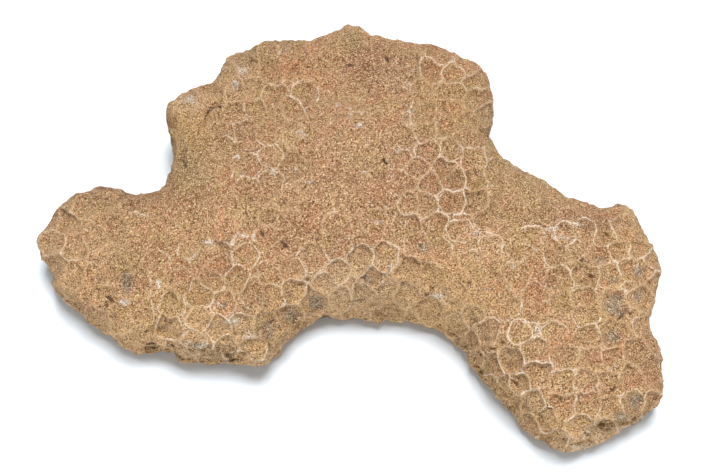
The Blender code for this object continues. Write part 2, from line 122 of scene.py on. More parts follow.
class Signal:
    """A value or colour that leaves a node, usable in Python expressions."""

    def __init__(self, weave: Weave, socket: bpy.types.NodeSocket) -> None:
        """Keeps the socket and the weave it belongs to."""
        self.weave = weave
        self.socket = socket

    def _math(self, operation: str, *values: Signal | float) -> Signal:
        """What leaves a Math node with the given inputs."""
        return self.weave.node("ShaderNodeMath", {"operation": operation}, dict(enumerate(values)))

    def __add__(self, other: Signal | float) -> Signal:
        """Sum."""
        return self._math("ADD", self, other)

    __radd__ = __add__

    def __sub__(self, other: Signal | float) -> Signal:
        """Difference."""
        return self._math("SUBTRACT", self, other)

    def __rsub__(self, other: Signal | float) -> Signal:
        """Reflected difference."""
        return self._math("SUBTRACT", other, self)

    def __mul__(self, other: Signal | float) -> Signal:
        """Product."""
        return self._math("MULTIPLY", self, other)

    __rmul__ = __mul__

    def __abs__(self) -> Signal:
        """The value without its sign."""
        return self._math("ABSOLUTE", self)

    def lesser(self, other: Signal) -> Signal:
        """The lesser of two values."""
        return self._math("MINIMUM", self, other)

    def clamped(self) -> Signal:
        """The value kept between 0 and 1."""
        return self.weave.node("ShaderNodeClamp", {}, {0: self})

    def rising(self, low: float, high: float) -> Signal:
        """A soft step that is 0 under `low` and 1 over `high`, or the other way round if they are swapped."""
        settings = {"interpolation_type": "SMOOTHSTEP"}
        return self.weave.node("ShaderNodeMapRange", settings, {0: self, 1: low, 2: high})


class Weave:
    """Builds one material's nodes."""

    def __init__(self, name: str) -> None:
        """Makes an empty material with a name."""
        self.material = bpy.data.materials.new(name)
        self.material.use_nodes = True
        self.tree = self.material.node_tree
        self.tree.nodes.clear()

    def node(
        self, kind: str, settings: Mapping[str, Any], inputs: Mapping[int | str, Any], output: int | str = 0
    ) -> Signal:
        """Adds a node.

        Args:
            kind: The node's type.
            settings: Its properties, set first.
            inputs: Values or signals for its input sockets.
            output: Which output the signal is.

        Returns:
            The signal that leaves it.
        """
        made = self.tree.nodes.new(kind)
        for key, value in settings.items():
            setattr(made, key, value)
        for key, value in inputs.items():
            if isinstance(value, Signal):
                self.tree.links.new(value.socket, made.inputs[key])
            else:
                made.inputs[key].default_value = value
        return Signal(self, made.outputs[output])

    def place(self) -> Signal:
        """Object coordinates, in millimetres."""
        spot = self.node("ShaderNodeTexCoord", {}, {}, "Object")
        return self.node("ShaderNodeVectorMath", {"operation": "SCALE"}, {0: spot, "Scale": 1.0 / MM})

    def shifted(self, place: Signal, shift: Colour) -> Signal:
        """The same place in another part of a pattern."""
        return self.node("ShaderNodeVectorMath", {"operation": "ADD"}, {0: place, 1: shift})

    def cloud(self, place: Signal, cloud: Cloud) -> Signal:
        """Soft noise around 0, about -0.3 to 0.3.

        Args:
            place: Where it is read, in millimetres.
            cloud: The noise.

        Returns:
            Its value.
        """
        shift = cloud.shift
        moved = self.shifted(place, (shift, -shift, 0.5 * shift)) if shift else place
        inputs = {"Vector": moved, "Detail": cloud.detail, "Roughness": cloud.rough}
        inputs["Scale"] = 1.0 / cloud.size
        return self.node("ShaderNodeTexNoise", {"noise_dimensions": "3D"}, inputs) - 0.5

    def cells(self, place: Signal, size: float, shift: Colour) -> tuple[Signal, Signal]:
        """Rounded grains packed side by side.

        Args:
            place: Where they are read, in millimetres.
            size: Usual distance between their middles, in millimetres.
            shift: Moves the pattern.

        Returns:
            A number from 0 to 1 drawn for each grain, and how far its middle is as a share of its size.
        """
        settings = {"voronoi_dimensions": "3D", "feature": "F1"}
        inputs = {"Vector": self.shifted(place, shift), "Scale": 1.0 / size}
        away = self.node("ShaderNodeTexVoronoi", settings, inputs, "Distance")
        drawn = self.node("ShaderNodeTexVoronoi", settings, inputs, "Color")
        return self.node("ShaderNodeSeparateColor", {}, {0: drawn}, 0), away

    def specks(self, place: Signal, specks: Specks) -> Signal:
        """Small round specks, 1 at their middle.

        Args:
            place: Where they are read, in millimetres.
            specks: The specks.

        Returns:
            The mask.
        """
        shift = specks.shift
        drawn, away = self.cells(place, specks.spacing, (shift, 2.0 * shift, -shift))
        there = drawn.rising(1.0 - specks.share, 1.0 + specks.doubt - specks.share)
        return away.rising(specks.reach, specks.core * specks.reach) * there

    def attribute(self, name: str) -> Signal:
        """A number that is stored on the mesh."""
        return self.node("ShaderNodeAttribute", {"attribute_name": name}, {}, "Fac")

    def blend(self, factor: Signal | float, under: Signal | Colour, over: Signal | Colour) -> Signal:
        """A mix of two colours, from `under` at a factor of 0 to `over` at 1."""
        pair = [colour if isinstance(colour, Signal) else (*colour, 1.0) for colour in (under, over)]
        return self.node("ShaderNodeMix", {"data_type": "RGBA"}, {0: factor, 6: pair[0], 7: pair[1]}, 2)

    def lit(self, colour: Signal, level: Signal) -> Signal:
        """A colour made lighter or darker by a factor."""
        return self.node("ShaderNodeVectorMath", {"operation": "SCALE"}, {0: colour, "Scale": level})

    def finish(
        self, colour: Signal, roughness: float, height: Signal | None = None, shine: float = 0.25
    ) -> bpy.types.Material:
        """Joins everything in one surface.

        Args:
            colour: Base colour.
            roughness: Roughness.
            height: Relief in millimetres, or none.
            shine: Level of the plain reflection.

        Returns:
            The finished material.
        """
        inputs: dict[int | str, Any] = {"Base Color": colour, "Roughness": roughness}
        inputs["Specular IOR Level"] = shine
        if height is not None:
            bump = {"Height": height, "Distance": MM, "Strength": 1.0}
            inputs["Normal"] = self.node("ShaderNodeBump", {}, bump)
        shader = self.node("ShaderNodeBsdfPrincipled", {}, inputs)
        out = self.tree.nodes.new("ShaderNodeOutputMaterial")
        self.tree.links.new(shader.socket, out.inputs["Surface"])
        return self.material


# Finishes


@dataclass(frozen=True)
class SandyLimestone:
    """Dry, sandy fossil limestone with pale cup walls."""

    dark: Colour = (0.430, 0.228, 0.098)
    light: Colour = (0.640, 0.385, 0.182)
    rusty: Colour = (0.590, 0.262, 0.122)
    mossy: Colour = (0.560, 0.368, 0.136)
    wall: Colour = (0.850, 0.740, 0.610)
    dusty_wall: Colour = (0.760, 0.570, 0.380)
    halo: Colour = (0.680, 0.440, 0.240)
    fleck: Colour = (0.700, 0.600, 0.470)
    # Painted shade inside pores, pits and cracks
    pore: Colour = (0.070, 0.032, 0.016)
    grain_pale: Colour = (0.950, 0.700, 0.450)
    grain_deep: Colour = (0.105, 0.030, 0.005)
    roughness: float = 0.9

    mottle: Cloud = Cloud(7.0, 3.0, 0.6)
    patches: Cloud = Cloud(1.6, 1.0, 0.5, 11.0)
    broad_hue: Cloud = Cloud(6.0, 2.0, 0.6, 23.0)
    fine_hue: Cloud = Cloud(1.3, 2.0, 0.6, 37.0)
    stain_edge: Cloud = Cloud(1.6, 4.0, 0.75, 41.0)
    ragged: Cloud = Cloud(0.8, 2.0, 0.7, 53.0)
    wander: Cloud = Cloud(3.0, 2.0, 0.6, 61.0)
    chips: Cloud = Cloud(0.9, 2.0, 0.7, 97.0)
    wobble: Cloud = Cloud(0.5, 2.0, 0.7, 101.0)
    looseness: Cloud = Cloud(3.2, 2.0, 0.6, 71.0)
    lumps: Cloud = Cloud(0.9, 3.0, 0.7, 17.0)
    cut_grain: Cloud = Cloud(0.6, 3.0, 0.7, 83.0)
    sparks: Specks = Specks(0.50, 0.38, 0.45, 43.0)
    shades: Specks = Specks(0.40, 0.46, 0.66, 13.0)
    flecks: Specks = Specks(1.2, 0.20, 0.25, 3.0)
    small_pores: Specks = Specks(0.8, 0.30, 0.5, 7.0)
    large_pores: Specks = Specks(1.9, 0.2, 0.3, 29.0)
    grain_size: float = 0.18
    grain_shift: Colour = (0.0, 0.0, 0.0)
    coarse_size: float = 0.414
    coarse_shift: Colour = (34.0, 17.0, -17.0)
    wall_half_width: float = 0.11
    halo_width: float = 0.45
    tube_width: float = 5.3

    def material(self) -> bpy.types.Material:
        """The whole finish."""
        return StoneLook(self).material()


class StoneLook:
    """The limestone's material in the making, laid layer by layer.

    gap is the distance from the nearest wall, beside how near that is, ragged and wander are a fine and a
    broad noise, pale is where the walls show, and height is the relief in millimetres.
    """

    def __init__(self, kind: SandyLimestone) -> None:
        """Reads what the layers share and lays them in order."""
        self.kind = kind
        self.weave = Weave("coral_limestone")
        self.place = self.weave.place()
        self.fresh = self.weave.attribute("fresh")
        self.gap = self.weave.attribute("gap").lesser(abs(self.weave.attribute("edge")))
        self.ragged = self.cloud(kind.ragged)
        self.wander = self.cloud(kind.wander)
        self.beside = (self.gap + self.ragged * 1.2).rising(kind.halo_width, 0.15)
        self.height = self.cloud(kind.lumps) * 0.2
        self.lay_ground()
        self.lay_stains()
        self.lay_hollows()
        self.lay_sand()
        self.lay_walls()
        self.open_pores()

    def cloud(self, cloud: Cloud) -> Signal:
        """Soft noise on the stone."""
        return self.weave.cloud(self.place, cloud)

    def specks(self, specks: Specks) -> Signal:
        """Small round specks on the stone."""
        return self.weave.specks(self.place, specks)

    def cover(self, share: Signal, colour: Signal | Colour) -> None:
        """Lays a colour over a share of the stone."""
        self.colour = self.weave.blend(share, self.colour, colour)

    def lay_ground(self) -> None:
        """Lays the sandy ground, dark to light and rusty to mossy."""
        kind = self.kind
        tone = 0.5 + self.cloud(kind.mottle) * 0.7 + self.cloud(kind.patches) * 0.7
        self.colour = self.weave.blend(tone.clamped(), kind.dark, kind.light)
        hue = self.cloud(kind.broad_hue) * 1.1 + self.cloud(kind.fine_hue) * 0.9
        hue = hue + (self.weave.attribute("cup_tone") - 0.5) * 0.06
        self.cover(hue.rising(0.0, 0.2) * 0.8, kind.rusty)
        self.cover(hue.rising(-0.02, -0.2) * 0.65, kind.mossy)

    def lay_stains(self) -> None:
        """Lays the stains, with the painted light and shade among them: slate, spar and the shade in hollows
        in ragged spots, the others in soft ones.
        """
        ragged = self.cloud(self.kind.stain_edge)
        for tint in Tint:
            amount = self.weave.attribute(tint.name.lower())
            if tint is Tint.SLATE:
                spread = (amount + ragged * amount.rising(0.0, 0.2) * 0.8).rising(0.12, 0.5) * 0.8
            # Spar, and the painted shade in pits, cracks and grooves
            elif tint in (Tint.SPAR, Tint.HOLLOW_SHADE):
                spread = (amount + ragged * amount.rising(0.0, 0.2) * 2.0).rising(0.2, 0.75) * 0.85
            else:
                spread = (amount * 1.25 + ragged * 0.9 * amount.rising(0.0, 0.4)).clamped()
            self.cover(spread, tint.value)

    def lay_hollows(self) -> None:
        """Lightens the stone beside the walls, and paints shade at their foot, more on the upper side of each
        cup.
        """
        self.cover(self.beside * (self.fresh * 0.35 + self.wander).clamped(), self.kind.halo)
        near = self.gap + self.ragged * 0.8
        # Painted shade at the foot of the walls, more on the upper side of each cup
        foot_shade = near.rising(0.25, 0.45) * near.rising(1.4, 0.7)
        lean = self.weave.attribute("lean")
        shaded = (self.fresh * self.fresh * 0.22 + self.wander * 0.4 + lean * 0.18).clamped()
        self.colour = self.weave.lit(self.colour, 1.0 - foot_shade * shaded)

    def lay_sand(self) -> None:
        """Strews pale and dark sand grains, and paints a little shade on the floors of the cups, more where
        they sink deeper.
        """
        kind = self.kind
        grain, away = self.weave.cells(self.place, kind.grain_size, kind.grain_shift)
        coarse, coarse_away = self.weave.cells(self.place, kind.coarse_size, kind.coarse_shift)
        crumbs = grain + (coarse - 0.5) * 0.05 - away.rising(0.5, 0.85) * 0.25
        showing = 1.0 - self.beside * self.fresh * 0.5
        bright = (crumbs.rising(0.6, 0.95) * 0.75 + self.specks(kind.sparks)) * showing
        self.cover(bright.clamped(), kind.grain_pale)
        shades = self.specks(kind.shades)
        deep = (crumbs.rising(0.42, 0.0) * 0.75 + shades) * showing
        self.cover(deep.clamped(), kind.grain_deep)
        # Painted shade: the cup floors darker the deeper they sink
        self.colour = self.weave.lit(self.colour, 1.0 - self.weave.attribute("sink") * 0.12)
        self.height = self.height + (grain - away) * 0.13 - shades * 0.12 + (coarse - coarse_away) * 0.04

    def lay_walls(self) -> None:
        """Draws the walls: dusty where they are buried, white where they are bare, broken in places."""
        kind, fresh, wander = self.kind, self.fresh, self.wander
        broken = (self.weave.attribute("pale") + wander * 1.6 - 0.25).rising(0.0, 0.6)
        chips = self.cloud(kind.chips)
        bare = self.weave.attribute("bare") * (0.95 + wander * 1.4 + chips * 2.8)
        buried = (fresh * fresh * 0.9 + wander * 1.2 + chips * 1.6 + broken * 0.4).clamped() * 0.65
        near = self.gap + self.cloud(kind.wobble) * 0.75
        core = 0.2 * kind.wall_half_width
        dusty = near.rising(1.5 * kind.wall_half_width, core) * buried
        scraped = (near.rising(1.7 * kind.wall_half_width, core) * bare).clamped()
        self.cover(dusty, kind.dusty_wall)
        self.cover(scraped, kind.wall)
        self.pale = (dusty + scraped).clamped()
        self.height = self.height + near.rising(0.5, 0.0) * (fresh * 0.22 + wander * 0.2)

    def open_pores(self) -> None:
        """Opens pores and cracks, with painted shade inside them, between a few pale flecks."""
        kind = self.kind
        flecks = self.specks(kind.flecks)
        self.cover(flecks * 0.6, kind.fleck)
        loose = self.cloud(kind.looseness) * 1.4 + 0.45 + self.weave.attribute("rust") * 1.2
        loose = (loose - self.beside * 0.15).rising(0.3, 0.8)
        pores = (self.specks(kind.small_pores) + self.specks(kind.large_pores) * 0.8) * loose
        cracks = (self.weave.attribute("crack") + self.ragged * 0.9).rising(0.7, 0.95)
        cracks = cracks + self.weave.attribute("pit").rising(0.38, 0.68) * 0.85
        # Painted shade: pores, pits and cracks in the near-black pore colour
        self.cover((pores * 0.75 * (1.0 - self.pale) + cracks * 0.85).clamped(), kind.pore)
        self.height = self.height + flecks * 0.05 - pores * 0.3 - cracks * 0.35

    def cross_section(self) -> Signal:
        """The flat cut underneath, where the tubes of the cups show as a honeycomb.

        Returns:
            The colour of the cut.
        """
        settings = {"voronoi_dimensions": "2D", "feature": "DISTANCE_TO_EDGE"}
        inputs = {"Vector": self.place, "Scale": 1.0 / self.kind.tube_width}
        edge = self.weave.node("ShaderNodeTexVoronoi", settings, inputs, "Distance")
        grain = self.cloud(self.kind.cut_grain)
        ground = self.weave.blend((0.5 + grain * 2.0).clamped(), self.kind.dark, self.kind.light)
        return self.weave.blend((edge + grain * 0.12).rising(0.09, 0.03) * 0.7, ground, self.kind.wall)

    def material(self) -> bpy.types.Material:
        """The finished material, with the flat cut in place.

        Returns:
            The material.
        """
        cut = self.weave.attribute("cut")
        self.cover(cut, self.cross_section())
        return self.weave.finish(self.colour, self.kind.roughness, self.height * (1.0 - cut * 0.6))


@dataclass(frozen=True)
class StudioPaper:
    """Matt white paper."""

    colour: Colour = (0.840, 0.915, 0.985)
    fibre_colour: Colour = (0.9, 0.9, 0.9)
    fibre: Cloud = Cloud(4.0)
    fibre_share: float = 0.02
    roughness: float = 0.95

    def material(self) -> bpy.types.Material:
        """The whole finish.

        Returns:
            The material.
        """
        weave = Weave("studio_paper")
        fibre = (0.5 + weave.cloud(weave.place(), self.fibre)).clamped() * self.fibre_share
        return weave.finish(weave.blend(fibre, self.colour, self.fibre_colour), self.roughness)


# Where things lie on the stone


@dataclass(frozen=True)
class Survey:
    """One line of sight on the stone, from above the front, in which places are read as x and v.

    x and v are millimetres on the plane through the aim, square to the line of sight.
    """

    aim: tuple[float, float, float] = (0.9, -3.6, 15.0)
    elevation_deg: float = 66.0
    distance: float = 372.0

    def axes(self) -> tuple[np.ndarray, np.ndarray, np.ndarray]:
        """Right, up and forward, as unit vectors."""
        tilt = math.radians(self.elevation_deg)
        forward = np.array([0.0, math.cos(tilt), -math.sin(tilt)])
        right = np.array([1.0, 0.0, 0.0])
        return right, np.cross(right, forward), forward

    def eye(self) -> np.ndarray:
        """Where the surveyor stands, in millimetres."""
        return np.array(self.aim) - self.axes()[2] * self.distance

    def read(self, points: np.ndarray) -> np.ndarray:
        """Places of points on the survey plane.

        Args:
            points: Points in millimetres, one a row.

        Returns:
            Their x and v, one a row.
        """
        right, up, forward = self.axes()
        offset = points - self.eye()
        scale = self.distance / (offset @ forward)
        return np.stack([offset @ right * scale, offset @ up * scale], axis=1)

    def towards(self, facing: np.ndarray) -> np.ndarray:
        """How squarely surfaces face the surveyor, from 1 in front to -1 behind."""
        return -(facing @ self.axes()[2])


def blob(places: np.ndarray, x: float, v: float, reach: float, squash: float = 1.0) -> np.ndarray:
    """How strong a round soft spot is at each place: 1 in its middle, and `squash` as high as it is wide."""
    away = np.hypot(places[:, 0] - x, (places[:, 1] - v) / squash) / reach
    return np.exp(-SPOT_FALL * away ** 3)


def swayed(places: np.ndarray, reach: float, rates: tuple[float, float, float, float]) -> np.ndarray:
    """Places moved aside in waves, so that what is read there doesn't run straight.

    Args:
        places: Places on the survey plane.
        reach: How far they move.
        rates: How fast the waves across and up turn, along v and x and then along x and v.

    Returns:
        The moved places.
    """
    x, v = places.T
    across, aslant, up, askew = rates
    return places + reach * np.stack([np.sin(across * v + aslant * x), np.sin(up * x - askew * v)], axis=1)


def line_distance(places: np.ndarray, line: Sequence[Point]) -> np.ndarray:
    """Distance of places from a broken line.

    Args:
        places: Places on the survey plane.
        line: The line's points.

    Returns:
        Distances in millimetres.
    """
    nearest = np.full(len(places), FAR)
    low, high = np.min(line, axis=0) - LINE_MARGIN, np.max(line, axis=0) + LINE_MARGIN
    close = np.flatnonzero(np.all((places > low) & (places < high), axis=1))
    best = nearest[close]
    for start, end in zip(line[:-1], line[1:]):
        begin = np.array(start)
        run = np.array(end) - begin
        offset = places[close] - begin
        along = np.clip(offset @ run / (run @ run), 0.0, 1.0)
        best = np.minimum(best, np.linalg.norm(offset - along[:, None] * run, axis=1))
    nearest[close] = best
    return nearest


def rounded(line: Sequence[Point], steps: int = 5) -> list[Point]:
    """The smooth curve through a broken line's points, as a finer broken line.

    Args:
        line: The points; the last is the first again where the line is closed.
        steps: How many pieces each stretch is parted in.

    Returns:
        Points along the curve.
    """
    closed = line[0] == line[-1]
    before = line[-2] if closed else line[0]
    after = line[1] if closed else line[-1]
    knots = [np.array(point) for point in (before, *line, after)]
    curve = [line[0]]
    for a, b, c, d in zip(knots[:-3], knots[1:-2], knots[2:-1], knots[3:]):
        square, cube = 2.0 * a - 5.0 * b + 4.0 * c - d, 3.0 * b - a - 3.0 * c + d
        for step in range(1, steps + 1):
            t = step / steps
            x, v = 0.5 * (2.0 * b + (c - a) * t + square * t**2 + cube * t**3)
            curve.append((x, v))
    return curve


@dataclass(frozen=True)
class StoneMap:
    """What lies where on the stone, read on the survey plane."""

    # x and v of the middle of every cup that can be told apart from above the front
    cups: tuple[Point, ...] = (
        # the dome, left half
        (-28.5, 36.5), (-31, 32.5), (-35.5, 30), (-25.5, 33), (-22, 33.5), (-18, 37), (-13, 37.5),
        (-8, 37.5), (-17.5, 31.5), (-10.5, 32.5), (-21.5, 28.5), (-17, 27), (-13.5, 29), (-23.5, 24),
        (-26, 28.5), (-18.5, 23.5), (-18, 18.5), (-23, 16.5), (-18, 12.5), (-13.5, 16), (-23, 11),
        (-28, 20), (-13, 41.5), (-18.5, 41), (-22.5, 38), (-29, 16), (-13.5, 24),
        # the dome, right half
        (17.5, 37.5), (23, 36.5), (15.5, 32.5), (22.5, 32.5), (27, 35), (22, 29), (27.5, 31.5),
        (29.5, 27.5), (16, 28), (20.5, 25.5), (26, 25.5), (29.5, 23), (13, 38), (19.5, 41), (25.5, 38.5),
        (11, 31),
        # the ridge
        (16.5, 24), (17, 19.5), (22, 20), (27, 18), (26, 22.5), (14.5, 16), (20.5, 15.5), (11.5, 12.5),
        (17.5, 12.5), (22.5, 13), (27.5, 13.5), (16.5, 8), (22.5, 8.5), (27.5, 8.5), (24, 2), (30.5, 5),
        (31, -1.5), (18.5, 3), (12.5, 3.5), (10.5, 18), (11, 22.5), (5, 4), (32, 15), (26.5, -5),
        (13, 8),
        # the row above the bay
        (-23.5, -3.5), (2, -4.5), (-3, -7), (-3.5, -1.5), (7.5, -4), (12.5, -6), (14.5, -1), (-18, -7.5),
        (-13.5, -6.5), (-8.5, -4), (-6, -9.5), (-8.5, -13), (-13, -11), (-18, -12.5), (-2.5, -13),
        (3, -12), (8, -11), (12, -12), (-14, -17), (-19, -19), (1, -16.5), (8.5, -16.5), (17.5, -15.5),
        (18, -8), (23, -12), (-14.5, -2), (20, -2.5), (-29, -6), (-26, -8.5), (5, -8.5),
        # the left lobe and the stub
        (-28.5, -14), (-34, -17.5), (-33.5, -12), (-40, -14.5), (-40.5, -19.5), (-29.5, -19.5),
        (-24.5, -19.5), (-21.5, -12), (-31, -9), (-38, -9.5), (-35, -22.5), (-38.5, -25), (-22, -24),
        (-28, -23.5), (-31, -26.5), (-24.5, -27), (-66, -0.5), (-63, 3.5), (-61.5, -1.5), (-62, -8),
        (-57, -8), (-57, 0.5), (-59.5, 7), (-52, 2), (-47.5, 3), (-67, 4), (-66, -6), (-52.5, -6.5),
        (-48, -10.5), (-54.5, -13), (-47, -16), (-51, -18), (-56.5, -17.5), (-43.5, -5), (-50, -23),
        # the shoulder of the right leg
        (40, 0.5), (48, 1), (52, 1), (56, 1), (60.5, 2), (45.5, -3), (54.5, -3.5), (50.5, -2),
        (60, -2.5), (63.5, -2), (52, -8), (57.5, -8), (61.5, -6), (64.5, -7), (67.5, -4.5), (68, -9.5),
        (46, -9), (51.5, -13), (58.5, -14), (64, -13), (41, -12.5), (36.5, -8), (46.5, -14), (37.5, -2),
        (64.5, 2), (32.5, -10),
        # the right leg
        (30, -20), (37.5, -20.5), (41, -15.5), (45, -21), (34.5, -14.5), (26, -22.5), (47.5, -26),
        (52.5, -21.5), (58, -21), (52, -16.5), (63, -25), (58, -27), (31.5, -28), (27, -26.5),
        (35.5, -27), (41, -24.5), (41.5, -29.5), (37, -32), (34.5, -32.5), (40, -36), (47, -31.5),
        (52, -31), (47, -37), (52.5, -36.5), (57.5, -32), (62, -30.5), (66.5, -29), (36, -37),
        (43.5, -40), (39.5, -41), (45, -44.5), (51, -41), (56, -42), (62.5, -36.5), (67, -37),
        (57.5, -37.5), (31, -32), (65, -19.5), (27, -17), (24, -19), (53, -26.5),
    )
    cup_radius: float = 3.15
    cup_reach: float = 3.85
    cup_slope: float = 1.1
    cup_depth: float = 1.15
    cup_lean: float = 0.45
    # The least of a cup's size and of its depth, and what its own tone adds, both as a share
    cup_spread: tuple[float, float] = (0.85, 0.3)
    cup_tone: tuple[float, float] = (0.6, 0.8)
    # The depth that a worn cup keeps, as a share
    cup_worn: float = 0.12
    cup_sway: float = 0.3
    cup_sway_rates: tuple[float, float, float, float] = (1.3, 0.5, 1.5, 0.7)
    # How squarely the stone faces the surveyor where the cups begin to hold and where they hold
    cup_sight: tuple[float, float] = (0.05, 0.3)
    sight_gain: float = 2.0
    # How far the chart fades at its edges
    fade: tuple[float, float] = (-0.4, 0.4)

    # x, v, how fresh the walls are from 0 to 1
    freshness: tuple[tuple[float, float, float], ...] = (
        (45, -32, 0.55), (52, -12, 0.65), (62, -25, 0.6), (36, -8, 0.35), (20, -6, 0.55), (5, -12, 0.5),
        (22, 12, 0.8), (22, 34, 0.6), (-21, 22, 0.4), (-20, 33, 0.45), (-22, -14, 0.7), (-35, -20, 0.65),
        (-56, -6, 0.55), (-48, -20, 0.25), (0, 15, 0.12), (-12, 0, 0.12), (5, 35, 0.15), (45, 10, 0.1),
        (30, 20, 0.3), (-38, 15, 0.12), (-35, 30, 0.3), (-8, -14, 0.8), (62, 2, 0.5), (-18, 1, 0.6),
        (2, 2, 0.35), (-40, 3, 0.2), (30, -28, 1), (-60, 4, 0.55), (0, -3, 0.6), (42, -16, 0.3),
    )
    freshness_reach: float = 7.0
    side_freshness: float = 0.7
    upright_gain: float = 1.4

    # x, v, radius and strength of the places where the walls are pale
    pale_walls: tuple[tuple[float, float, float, float], ...] = (
        (24, 14, 8, 0.15), (49, 1, 9, 0.2), (-32, -16, 8, 0.2), (55, -38, 9, 0.3), (34, -33, 7, 0.3),
        (28, -26, 6, 0.3),
    )
    side_pale: float = 0.35

